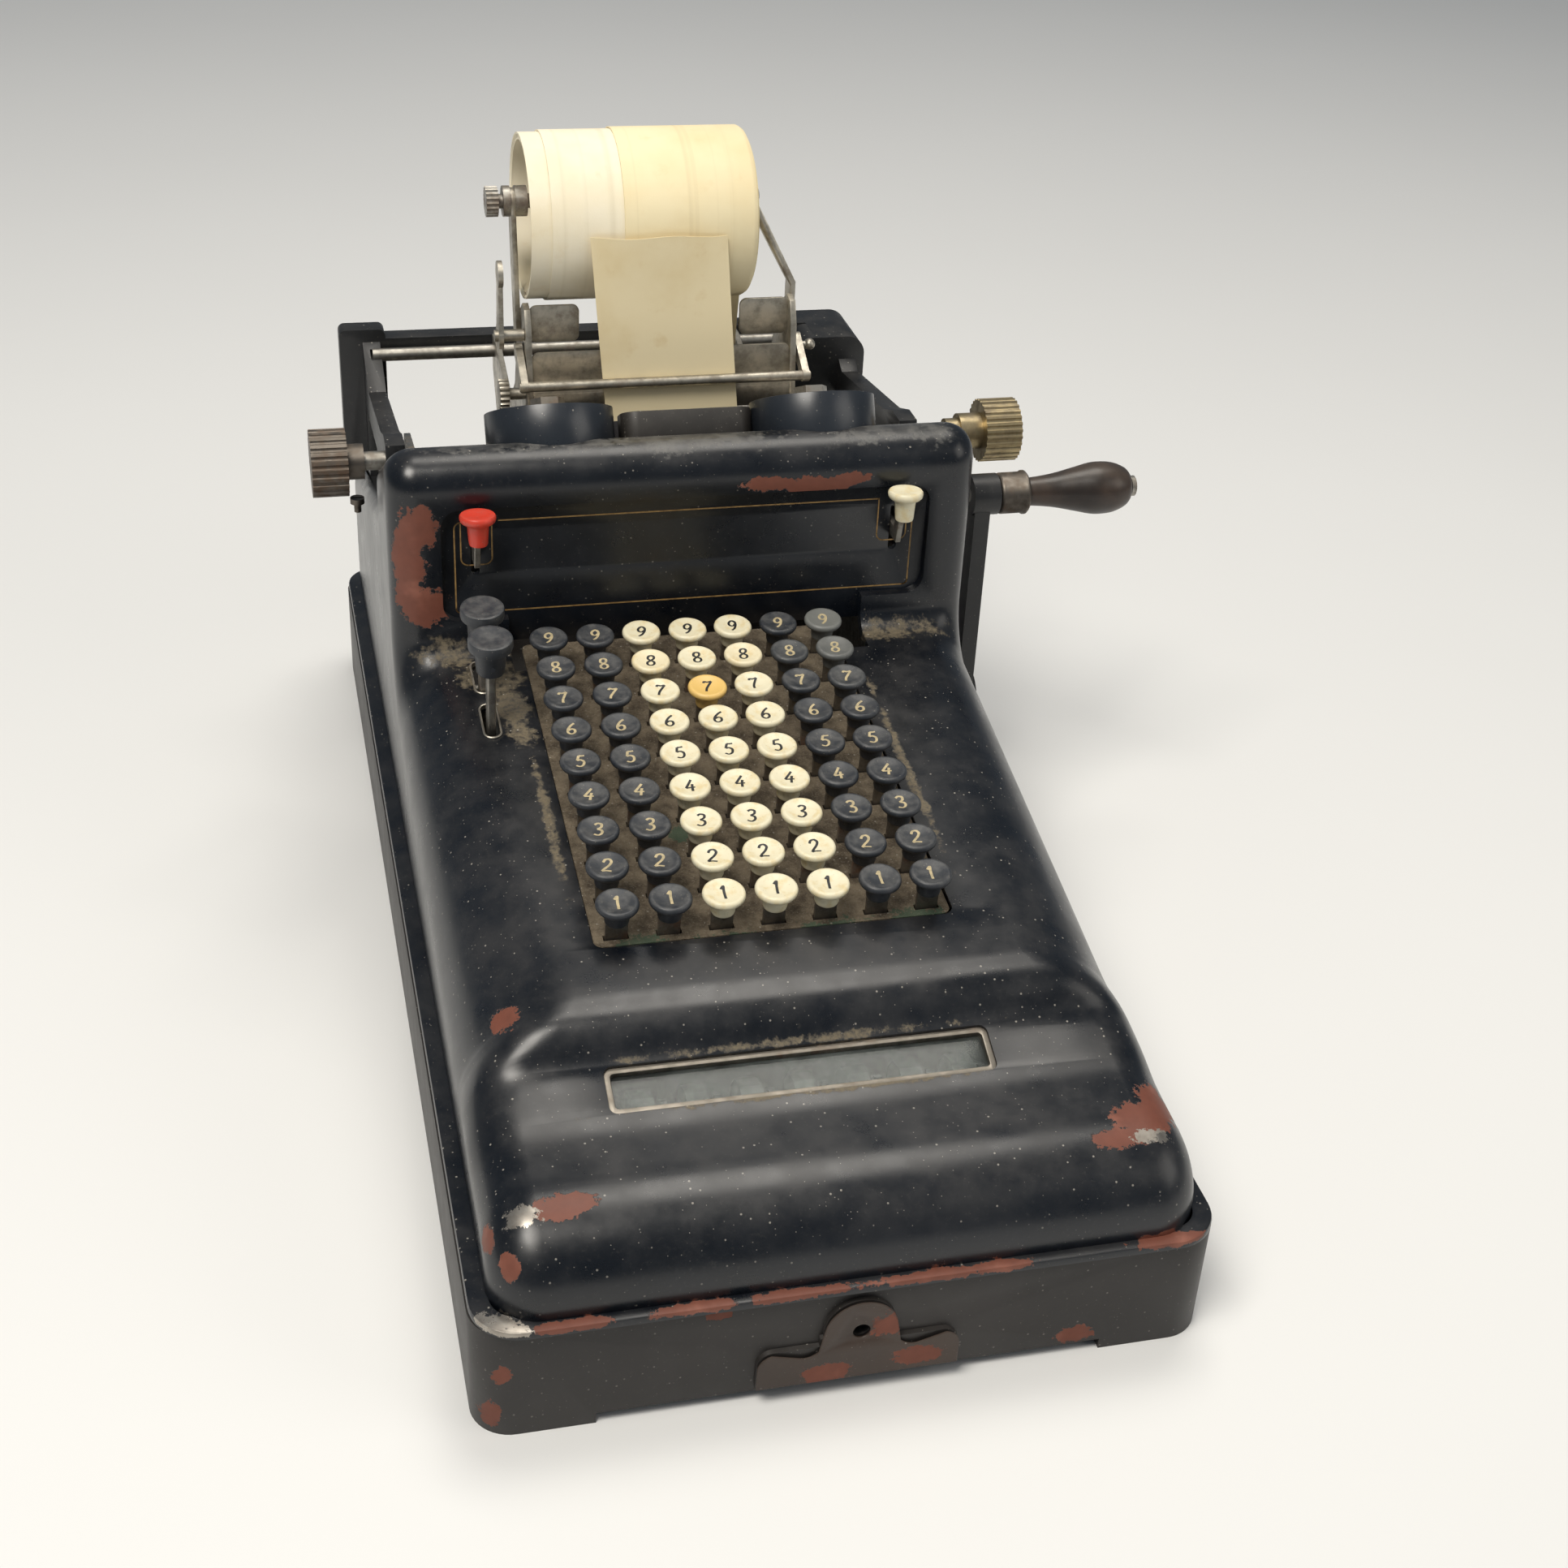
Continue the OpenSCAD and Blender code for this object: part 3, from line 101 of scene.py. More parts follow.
class Tree:
    """Adds nodes to one material, which M keeps by its name, and wires them."""

    def __init__(self, name):
        self.mat = M[name] = bpy.data.materials.new(name)
        self.mat.use_nodes = True
        self.nt = self.mat.node_tree
        self.nt.nodes.clear()
        self.P = self.add("ShaderNodeTexCoord").outputs["Object"]

    def add(self, kind, inputs=None, **props):
        n = self.nt.nodes.new(kind)
        for k, v in props.items():
            setattr(n, k, v)
        for k, v in (inputs or {}).items():
            if isinstance(v, bpy.types.NodeSocket):
                self.nt.links.new(v, n.inputs[k])
            else:
                n.inputs[k].default_value = v
        return n

    def m(self, op, a, b=0.0, clamp=False):
        return self.add("ShaderNodeMath", {0: a, 1: b}, operation=op, use_clamp=clamp).outputs[0]

    def times(self, a, b):
        return self.m("MULTIPLY", a, b)

    def plus(self, a, b, clamp=False):
        return self.m("ADD", a, b, clamp)

    def minus(self, a, b, clamp=False):
        return self.m("SUBTRACT", a, b, clamp)

    def v(self, op, a, b=(0, 0, 0)):
        n = self.add("ShaderNodeVectorMath", {0: a, 1: b}, operation=op)
        return n.outputs["Value"] if op in ("LENGTH", "DISTANCE", "DOT_PRODUCT") else n.outputs[0]

    def mix(self, fac, a, b):
        fit = lambda c: (*c, 1.0) if isinstance(c, tuple) and len(c) == 3 else c
        return self.add("ShaderNodeMix", {0: fac, 6: fit(a), 7: fit(b)}, data_type="RGBA").outputs[2]

    def noise(self, scale, detail=4.0, rough=0.55, at=None):
        return self.add(
            "ShaderNodeTexNoise",
            {"Vector": at or self.P, "Scale": scale, "Detail": detail, "Roughness": rough},
        ).outputs[0]

    def cells(self, scale, out, at):
        return self.add("ShaderNodeTexVoronoi", {"Vector": at, "Scale": scale}).outputs[out]

    def step(self, value, lo, hi, a=0.0, b=1.0):
        """Rises from a to b while the value goes from lo to hi."""
        return self.add(
            "ShaderNodeMapRange",
            {"Value": value, "From Min": lo, "From Max": hi, "To Min": a, "To Max": b},
            interpolation_type="SMOOTHSTEP",
        ).outputs[0]

    def up(self):
        """How far the surface faces up."""
        normal = self.add("ShaderNodeNewGeometry").outputs["Normal"]
        return self.add("ShaderNodeSeparateXYZ", {0: normal}).outputs[2]

    def along_x(self, value):
        """A place along one line, for a pattern of bands."""
        return self.add("ShaderNodeCombineXYZ", {0: value}).outputs[0]

    def spots(self, scale, size, share, seed=0.0):
        """Small round specks: 1 inside a speck."""
        at = self.v("ADD", self.P, (seed, seed * 0.7, seed * 1.3))
        d = self.cells(scale, "Distance", at)
        c = self.add("ShaderNodeSeparateColor", {0: self.cells(scale, "Color", at)})
        near = self.step(d, size * 0.5, size, 1.0, 0.0)
        return self.times(near, self.m("LESS_THAN", c.outputs[0], share))

    def places(self, spots, noise_scale=90.0, rag=0.9):
        """1 inside any of the places (x, y, z, rx, ry, rz in mm), with ragged borders."""
        coarse = self.times(self.minus(self.noise(noise_scale, 6.0, 0.7), 0.5), rag * 2.2)
        small = self.times(self.minus(self.noise(noise_scale * 4, 5.0, 0.7), 0.5), rag * 0.9)
        best = None
        for x, y, z, rx, ry, rz in spots:
            d = self.v("SUBTRACT", self.P, (x * MM, y * MM, z * MM))
            d = self.v("LENGTH", self.v("DIVIDE", d, (rx * MM, ry * MM, rz * MM)))
            best = d if best is None else self.m("MINIMUM", best, d)
        return self.plus(self.minus(1.0, best), self.plus(coarse, small))

    def surface(self, colour, rough, metal=0.0, bump=None, bump_mm=0.1, **extra):
        ins = {"Base Color": colour, "Roughness": rough, "Metallic": metal}
        ins.update(extra)
        if isinstance(colour, tuple):
            ins["Base Color"] = (*colour[:3], 1.0)
        if bump is not None:
            b = self.add("ShaderNodeBump", {"Height": bump, "Distance": bump_mm * MM, "Strength": 1.0})
            ins["Normal"] = b.outputs[0]
        n = self.add("ShaderNodeBsdfPrincipled", ins)
        self.add("ShaderNodeOutputMaterial", {0: n.outputs[0]})
        return self.mat


PRIMER, PRIMER_WORN, CHIP_EDGE = (0.2, 0.06, 0.034), (0.3, 0.11, 0.07), (0.05, 0.035, 0.03)
BARE_LIGHT, BARE_DARK = (0.5, 0.47, 0.42), (0.2, 0.17, 0.14)
DUST, GRIT, SPECK = (0.17, 0.15, 0.125), (0.24, 0.22, 0.19), (0.42, 0.39, 0.34)
RUBBED, DIRT_LIGHT, DIRT_DARK = (0.115, 0.112, 0.105), (0.2, 0.165, 0.105), (0.09, 0.07, 0.045)
STAIN, METAL_DUST = (0.16, 0.085, 0.045), (0.3, 0.27, 0.22)
KEY_DUST, KEY_GREY, KEY_SPECK = (0.22, 0.21, 0.19), (0.2, 0.205, 0.19), (0.3, 0.26, 0.2)
FELT_DARK, FELT_LIGHT, FELT_FLUFF = (0.052, 0.038, 0.024), (0.175, 0.14, 0.095), (0.3, 0.26, 0.2)
FELT_GREEN, FELT_SPECK = (0.035, 0.075, 0.045), (0.36, 0.33, 0.28)


def scaled(colour, *by):
    """A colour times one number, or times one number for each channel."""
    return tuple(c * k for c, k in zip(colour, by * 3 if len(by) == 1 else by))


def enamel(name, base, primer=(), bare=(), dull=(), dusty=0.5, rough=0.3, dirt=()):
    """Dusty enamel, with places where it is dull, dirty, chipped to the primer or rubbed to the metal."""
    t = Tree(name)
    big, mid, fine = t.noise(14.0, 5.0), t.noise(70.0, 6.0, 0.6), t.noise(520.0, 4.0, 0.7)
    lighter, lightest = tuple(c * 1.5 + 0.002 for c in base), tuple(c * 1.9 + 0.004 for c in base)
    colour = t.mix(t.step(big, 0.38, 0.68), base, lighter)
    colour = t.mix(t.times(t.step(mid, 0.45, 0.75), 0.35), colour, lightest)
    up = t.step(t.up(), 0.1, 0.95)
    veil = t.times(t.step(t.plus(t.times(mid, 0.6), t.times(big, 0.5)), 0.4, 0.78), up)
    veil = t.times(veil, 0.15 * dusty)
    colour = t.mix(veil, colour, DUST)
    colour = t.mix(t.times(t.step(fine, 0.56, 0.74), 0.06 * dusty + 0.01), colour, GRIT)
    roughness = t.plus(t.plus(t.times(mid, 0.22), rough - 0.08), t.times(veil, 0.6))
    if dull:
        d = t.step(t.places(dull, 60.0, 1.3), 0.05, 0.5)
        d = t.times(d, t.step(t.noise(130.0, 5.0, 0.65), 0.36, 0.6, 0.25, 0.85))
        colour = t.mix(d, colour, RUBBED)
        roughness = t.plus(roughness, t.times(d, 0.2))
    if dirt:
        d = t.step(t.places(dirt, 80.0, 1.2), 0.0, 0.55)
        d = t.times(d, t.step(t.noise(420.0, 5.0, 0.7), 0.3, 0.58, 0.2, 1.0))
        colour = t.mix(d, colour, t.mix(t.noise(900.0, 4.0), DIRT_LIGHT, DIRT_DARK))
        roughness = t.plus(roughness, t.times(d, 0.45), clamp=True)
    specks = t.m("MAXIMUM", t.spots(330.0, 0.16, 0.28), t.spots(900.0, 0.2, 0.10, 0.3))
    colour = t.mix(t.times(specks, t.plus(t.times(up, 0.4), 0.25)), colour, SPECK)
    height = t.times(fine, 0.12)
    if primer:
        f = t.places(primer)
        edge, inside = t.step(f, -0.02, 0.03), t.step(f, 0.02, 0.07)
        rust = t.mix(t.noise(210.0, 5.0), PRIMER, scaled(PRIMER, 0.62))
        rust = t.mix(t.step(t.noise(60.0, 3.0), 0.5, 0.8), rust, PRIMER_WORN)
        colour = t.mix(inside, t.mix(edge, colour, CHIP_EDGE), rust)
        roughness = t.plus(roughness, t.times(inside, 0.3))
        height = t.minus(height, t.times(edge, 0.9))
    metallic = 0.0
    if bare:
        g = t.step(t.places(bare, 160.0, 1.1), 0.0, 0.12)
        colour = t.mix(g, colour, t.mix(t.noise(300.0, 4.0), BARE_LIGHT, BARE_DARK))
        metallic = t.times(g, 0.85)
    coat = {"Coat Weight": 0.12, "Coat Roughness": 0.3}
    t.surface(colour, roughness, metallic, height, 0.09, **coat)


def metal(name, base, rough=0.4, rust=0.3, dusty=0.3):
    """Old plated or plain metal, stained brown in patches and dusty on top."""
    t = Tree(name)
    big, mid, fine = t.noise(30.0, 5.0), t.noise(170.0, 6.0, 0.6), t.noise(900.0, 3.0)
    colour = t.mix(t.step(mid, 0.35, 0.7), base, scaled(base, 0.55))
    stain = t.times(t.step(t.plus(t.times(big, 0.5), t.times(mid, 0.5)), 0.5, 0.66), rust)
    colour = t.mix(stain, colour, STAIN)
    veil = t.times(t.times(t.step(t.up(), 0.0, 1.0), t.step(mid, 0.3, 0.7)), dusty)
    colour = t.mix(veil, colour, METAL_DUST)
    metallic = t.minus(t.minus(1.0, t.times(stain, 0.8)), t.times(veil, 0.8), clamp=True)
    roughness = t.plus(t.plus(t.times(mid, 0.25), rough - 0.1), t.times(stain, 0.3))
    t.surface(colour, roughness, metallic, t.plus(fine, t.times(mid, 0.6)), 0.03)


def celluloid(name, base, stain, dusty, rough=0.34):
    """Key caps. A cap's own tone takes it towards the stain (above 0) or towards grey dust (below 0)."""
    t = Tree(name)
    tone = t.add("ShaderNodeAttribute", attribute_name="tone").outputs["Fac"]
    mid, fine = t.noise(230.0, 5.0, 0.6), t.noise(1100.0, 4.0, 0.6)
    colour = t.mix(t.times(t.step(mid, 0.45, 0.72), 0.55), base, stain)
    colour = t.mix(t.step(tone, 0.5, 1.0), colour, scaled(stain, 1.12, 1.0, 0.8))
    veil = t.times(t.plus(t.times(t.step(t.up(), 0.3, 1.0), 0.8), 0.2), t.step(mid, 0.3, 0.75))
    veil = t.times(veil, dusty)
    colour = t.mix(veil, colour, KEY_DUST)
    colour = t.mix(t.times(t.step(tone, -0.5, -1.0), 0.75), colour, KEY_GREY)
    colour = t.mix(t.times(t.spots(1000.0, 0.22, 0.16), 0.5), colour, KEY_SPECK)
    roughness = t.plus(t.plus(t.times(fine, 0.2), rough), t.times(veil, 0.35))
    coat = {"Coat Weight": 0.15, "Coat Roughness": 0.25}
    t.surface(colour, roughness, 0.0, fine, 0.03, **coat)


def plain(name, base, other, rough, scale=120.0, bump_mm=0.05, up_dust=0.0):
    """One colour with clouds of another."""
    t = Tree(name)
    mid, fine = t.noise(scale, 6.0, 0.6), t.noise(scale * 6, 4.0, 0.6)
    colour = t.mix(t.step(mid, 0.35, 0.7), base, other)
    if up_dust:
        colour = t.mix(t.times(t.times(t.step(t.up(), 0.0, 1.0), mid), up_dust), colour, DUST)
    t.surface(colour, t.plus(t.times(fine, 0.2), rough - 0.1), 0.0, fine, bump_mm)


def felt(green_places):
    t = Tree("felt_plate")
    mid, fine = t.noise(110.0, 7.0, 0.7), t.noise(1300.0, 5.0, 0.7)
    colour = t.mix(t.step(mid, 0.32, 0.68), FELT_DARK, FELT_LIGHT)
    colour = t.mix(t.times(t.step(fine, 0.5, 0.72), 0.5), colour, FELT_FLUFF)
    green = t.step(t.places(green_places, 200.0, 1.2), 0.0, 0.25)
    colour = t.mix(t.times(green, 0.75), colour, FELT_GREEN)
    colour = t.mix(t.times(t.spots(420.0, 0.2, 0.3), 0.6), colour, FELT_SPECK)
    t.surface(colour, 0.95, 0.0, t.plus(fine, mid), 0.5)


def paper(name, base, stain, lines=0.0):
    """Aged paper, with faint bands along X where it is wound."""
    t = Tree(name)
    big, mid, fine = t.noise(22.0, 4.0), t.noise(90.0, 5.0), t.noise(1500.0, 3.0)
    colour = t.mix(t.times(t.step(big, 0.42, 0.72), 0.7), base, stain)
    colour = t.mix(t.times(t.step(mid, 0.6, 0.78), 0.35), colour, scaled(stain, 0.9, 0.82, 0.68))
    height = fine
    if lines:
        x = t.add("ShaderNodeSeparateXYZ", {0: t.P}).outputs[0]
        band = t.noise(1.0, 3.0, 0.6, at=t.along_x(t.times(x, lines)))
        colour = t.mix(t.times(t.step(band, 0.52, 0.66), 0.3), colour, scaled(stain, 0.8))
        height = t.plus(fine, t.times(band, 2.0))
    t.surface(colour, 0.86, 0.0, height, 0.03, **{"Specular IOR Level": 0.25})


def glass():
    """Clear glass under a cloudy film of dirt."""
    t = Tree("window_glass")
    dirt = t.plus(t.times(t.step(t.noise(60.0, 6.0, 0.65), 0.35, 0.75), 0.4), 0.10)
    clear = t.add("ShaderNodeBsdfPrincipled", {
        "Base Color": (0.9, 0.95, 0.93, 1), "Roughness": 0.06, "Transmission Weight": 1.0, "IOR": 1.3,
    })
    haze = t.add("ShaderNodeBsdfPrincipled", {"Base Color": (0.17, 0.19, 0.18, 1), "Roughness": 0.6})
    both = t.add("ShaderNodeMixShader", {0: dirt, 1: clear.outputs[0], 2: haze.outputs[0]})
    t.add("ShaderNodeOutputMaterial", {0: both.outputs[0]})


# Places of wear: middle and half sizes along X, Y and Z, in millimetres
PRIMER_PLACES = (
    (-111, 33, 182, 9, 5, 10), (-114, 34, 165, 7, 6, 20), (-108, 32.5, 148, 12, 4, 9),
    (33, 32.5, 194, 14, 5, 3.2), (50, 32.5, 192.5, 14, 5, 3.6), (65, 32.5, 194.6, 9, 5, 3),
    (-104, -170, 95, 9, 6, 4), (-96, -246, 77, 8, 5, 4), (-90, -245, 78, 7, 4, 4),
    (-119.6, -244.5, 67, 4, 5, 4), (-114, -257, 66, 4, 4, 4),
    (104, -240, 78, 12, 9, 5), (112, -232, 76, 10, 10, 6), (94, -246, 77, 10, 4, 4),
    (-97, -269, 48.6, 14, 2.6, 2.4), (-56, -269, 48.6, 16, 2.6, 2.4), (-18, -269, 48.6, 22, 2.6, 2.4),
    (23, -269, 48.6, 20, 2.6, 2.4), (48, -269, 48.6, 12, 2.6, 2.4), (108, -268, 48.6, 14, 3, 2.5),
)
METAL_PLACES = (
    (-109.5, -246.7, 76, 6, 4, 4), (-121, -265, 48.6, 8, 6, 2.5), (-115, -269, 48.6, 6, 3, 2.5),
    (105, -247, 77, 7, 3, 3),
)
DULL_PLACES = ((-80, 50, 209.5, 34, 9, 6), (1, 46, 210, 60, 9, 6), (86, 44, 209.7, 34, 9, 6))
DIRT_PLACES = (
    (-84, 14, 124, 13, 16, 14), (-80, -8, 121, 9, 16, 12), (-78, -22, 119, 7, 12, 10),
    (-99, 26, 130, 16, 7, 8),
    (-75, -70, 113, 2.5, 60, 8), (0, 28, 126, 75, 5, 7), (86, 26, 128, 26, 6, 7), (68, -60, 115, 2.5, 80, 8),
    (-6, -191.5, 88.5, 62, 1.8, 3), (-6, -210, 82, 60, 1.6, 3),
)
BASE_PLACES = (
    (-119, -268, 27, 4, 4, 5), (-48, -268, 42, 5, 3, 2.5), (78, -268, 9, 7, 3, 4), (-123, -266, 9, 4, 6, 6),
    (-15, -268, 10, 5, 3, 3), (20, -268, 12, 8, 3, 3),
)
BOSS_PLACES = ((-12, -270, 12, 8, 3, 5), (10, -270, 30, 6, 3, 6), (20, -270, 14, 9, 3, 4))
GREEN_PLACES = (
    (-52, -150, 103, 10, 8, 9), (-20, -152, 103, 14, 6, 9), (22, -151, 103, 16, 6, 9),
    (48, -150, 103, 12, 8, 9), (-28, -90, 110, 5, 5, 5), (10, -150, 103, 8, 5, 8),
)

# The looks
enamel("black_enamel", (0.003, 0.0045, 0.0075), PRIMER_PLACES, METAL_PLACES, DULL_PLACES,
       dusty=0.8, rough=0.27, dirt=DIRT_PLACES)
enamel("base_black", (0.012, 0.010, 0.009), BASE_PLACES, dusty=0.5, rough=0.5)
enamel("boss_brown", (0.03, 0.018, 0.012), BOSS_PLACES, dusty=0.6, rough=0.5)
enamel("dark_cast", (0.008, 0.0085, 0.0095), dusty=0.9, rough=0.42)
enamel("cup_black", (0.012, 0.015, 0.02), dusty=0.2, rough=0.28)
enamel("guard_black", (0.016, 0.014, 0.012), dusty=1.0, rough=0.5)
metal("dull_nickel", (0.56, 0.52, 0.44), 0.42, 0.3, 0.35)
metal("plain_steel", (0.42, 0.4, 0.36), 0.42, 0.5, 0.35)
metal("old_steel", (0.3, 0.27, 0.23), 0.5, 0.9, 0.5)
metal("brass_knob", (0.42, 0.34, 0.2), 0.4, 0.25, 0.3)
metal("dark_knob", (0.16, 0.14, 0.12), 0.45, 0.5, 0.3)
celluloid("ivory_key", (0.79, 0.73, 0.53), (0.7, 0.52, 0.2), 0.04)
celluloid("black_key", (0.02, 0.024, 0.031), (0.035, 0.04, 0.05), 0.3, 0.4)
celluloid("red_key", (0.62, 0.045, 0.022), (0.45, 0.05, 0.03), 0.06)
plain("gold_line", (0.36, 0.22, 0.075), (0.2, 0.115, 0.04), 0.55, 300.0, 0.0)
plain("ink", (0.012, 0.013, 0.014), (0.03, 0.03, 0.03), 0.5, 300.0, 0.0)
plain("pale_gold", (0.55, 0.45, 0.26), (0.36, 0.3, 0.18), 0.6, 500.0, 0.0)
felt(GREEN_PLACES)
plain("dark_rubber", (0.02, 0.019, 0.018), (0.045, 0.042, 0.038), 0.7, 90.0)
plain("grip_wood", (0.017, 0.012, 0.010), (0.05, 0.03, 0.02), 0.36, 45.0, 0.04, 0.3)
glass()
paper("paper", (0.88, 0.76, 0.5), (0.74, 0.58, 0.3))
paper("roll_paper", (0.87, 0.76, 0.5), (0.8, 0.65, 0.37), 120.0)
paper("white_paper", (0.89, 0.82, 0.65), (0.82, 0.72, 0.5), 120.0)
plain("ribbon", (0.012, 0.012, 0.014), (0.03, 0.028, 0.03), 0.85, 400.0)
plain("dial_white", (0.2, 0.21, 0.2), (0.1, 0.105, 0.1), 0.6, 200.0)

SLOT_OF = {s["node"]: s["material_slot"] for s in frame["record"]["subparts"]}
# Looks of single nodes, where they are not the one named like the slot
LOOK_OF_NODE = {
    "left_spool_cup": "cup_black", "right_spool_cup": "cup_black", "type_guard": "guard_black",
    "left_platen_knob": "dark_knob", "left_spool": "old_steel", "window_bezel": "old_steel",
}


# Meshes
def put(name, verts, faces, look, body, slot, angle=35.0, replaces=(), painted=False):
    """Makes an object from points in millimetres. Edges sharper than the angle stay sharp.

    A painted mark is an open sheet, whose faces already look outwards."""
    me = bpy.data.meshes.new(name)
    me.from_pydata([Vector(v) * MM for v in verts], [], faces)
    bm = bmesh.new()
    bm.from_mesh(me)
    bmesh.ops.remove_doubles(bm, verts=bm.verts, dist=1e-7)
    if not painted:
        bmesh.ops.recalc_face_normals(bm, faces=bm.faces)
    bm.to_mesh(me)
    bm.free()
    me.shade_smooth()
    me.set_sharp_from_angle(angle=math.radians(angle))
    ob = bpy.data.objects.new(name, me)
    scene.collection.objects.link(ob)
    if look:
        me.materials.append(M[look])
    return hand_over(ob, body, replaces)


def hand_over(ob, body, replaces=()):
    """Puts the object under the body that carries it, and hides the nodes it stands for."""
    if body:
        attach(ob, body)
    if replaces:
        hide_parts(*replaces)
    return ob


def applied(ob):
    """Turns an object's modifiers into its plain mesh."""
    dg = bpy.context.evaluated_depsgraph_get()
    me = bpy.data.meshes.new_from_object(ob.evaluated_get(dg), depsgraph=dg)
    ob.modifiers.clear()
    ob.data = me
    return ob


def bands(rows, count, first=0):
    """Faces between closed rows of points that follow each other in one list."""
    return [
        (first + k * count + i, first + k * count + (i + 1) % count,
         first + (k + 1) * count + (i + 1) % count, first + (k + 1) * count + i)
        for k in range(rows - 1) for i in range(count)
    ]


def between(a, b, c, d, u):
    """A point of the smooth curve from b to c, which comes from a and goes on to d."""
    square, cube = 2 * a - 5 * b + 4 * c - d, 3 * b - a - 3 * c + d
    return 0.5 * (2 * b + (c - a) * u + square * u * u + cube * u ** 3)


class Shape:
    """Collects the vertices and faces of one piece, in millimetres."""

    def __init__(self):
        self.v, self.f = [], []

    def add(self, verts, faces, frame=None):
        n = len(self.v)
        self.v += [tuple(frame @ Vector(p)) if frame else tuple(p) for p in verts]
        self.f += [tuple(i + n for i in f) for f in faces]
        return self

    def lathe(self, outline, frame, steps=48):
        """outline: (radius, height) points from the axis round to the axis, turned about the frame's Z."""
        v, f, rows = [], [], []
        for r, h in outline:
            if r < 1e-6:
                rows.append([len(v)])
                v.append((0, 0, h))
            else:
                rows.append(list(range(len(v), len(v) + steps)))
                for k in range(steps):
                    a = k * math.tau / steps
                    v.append((r * math.cos(a), r * math.sin(a), h))
        for a, b in zip(rows, rows[1:]):
            for i in range(steps):
                j = (i + 1) % steps
                if len(a) == 1 and len(b) > 1:
                    f.append((a[0], b[i], b[j]))
                elif len(b) == 1 and len(a) > 1:
                    f.append((a[i], a[j], b[0]))
                elif len(a) > 1:
                    f.append((a[i], a[j], b[j], b[i]))
        if len(rows[0]) > 1 and len(rows[-1]) > 1:
            for i in range(steps):
                j = (i + 1) % steps
                f.append((rows[-1][i], rows[-1][j], rows[0][j], rows[0][i]))
        return self.add(v, f, frame)

    def prism(self, outline, frame, h0, h1, inset=0.0):
        """An outline in the frame's XY plane, from one height to another, with small bevels."""
        pts = [Vector(p) for p in outline]
        area = sum(a.x * b.y - b.x * a.y for a, b in zip(pts, pts[1:] + pts[:1]))
        if area < 0:
            pts.reverse()
        n = len(pts)

        def shrunk(d):
            """The outline, moved in by a distance."""
            out = []
            for i in range(n):
                a, b, c = pts[i - 1], pts[i], pts[(i + 1) % n]
                u, w = (b - a).normalized(), (c - b).normalized()
                nu, nw = Vector((-u.y, u.x)), Vector((-w.y, w.x))
                k = nu + nw
                out.append(b + k / max(k.length_squared / 2, 0.3) * d)
            return out

        rings = [(inset, h0), (0, h0 + inset), (0, h1 - inset), (inset, h1)] if inset else [(0, h0), (0, h1)]
        v = [(p.x, p.y, h) for d, h in rings for p in (shrunk(d) if d else pts)]
        f = [tuple(range(n - 1, -1, -1)), tuple(range(len(v) - n, len(v)))] + bands(len(rings), n)
        return self.add(v, f, frame)

    def make(self, name, look, body, slot, **more):
        return put(name, self.v, self.f, look, body, slot, **more)


def rounded(w, l, r, n=6, cx=0.0, cy=0.0):
    """A rectangle with round corners of n steps each."""
    out = []
    for sx, sy, a0 in ((1, 1, 0), (-1, 1, 90), (-1, -1, 180), (1, -1, 270)):
        for k in range(n + 1):
            a = math.radians(a0 + 90 * k / n)
            out.append((cx + sx * (w / 2 - r) + r * math.cos(a), cy + sy * (l / 2 - r) + r * math.sin(a)))
    return out


def turn(axis, deg):
    return Matrix.Rotation(math.radians(deg), 4, axis)


def place(x, y, z):
    return Matrix.Translation((x, y, z))


KEYS = place(KEY_X, KEY_Y, KEY_Z) @ turn("X", KEY_SLOPE)
ACROSS = turn("Y", 90)  # the frame's Z runs along X
UPRIGHT = turn("X", 90)  # the frame's Z runs towards the operator


# The cover
def plateau(y):
    """Height of the keyboard's slope at a depth."""
    return KEY_Z - PLATE_DROP + 1.5 + (y - KEY_Y) * math.tan(math.radians(KEY_SLOPE))


RIDGE_Y = KEY_Y - 34
FILLET_Y, FILLET_R = FACE_Y - 9, 9
NOSE_Y, NOSE_Z, NOSE_DEPTH, NOSE_H = 28 - CASE_L / 2, BASE_H + 8, 30, 26
SILL_Y, SILL_H, TAIL_R, TAIL_H = CASE_L / 2 - 26, BASE_H + 72, 26, 20
DECK_RUN = 36


def deck_end():
    """Depth and height where the deck behind the crest ends and the open bay starts."""
    t = math.radians(DECK_TILT)
    y = FACE_Y + CREST_R + CREST_R * math.sin(t) + DECK_RUN * math.cos(t)
    z = CREST_Z - CREST_R + CREST_R * math.cos(t) - DECK_RUN * math.sin(t)
    return y, z


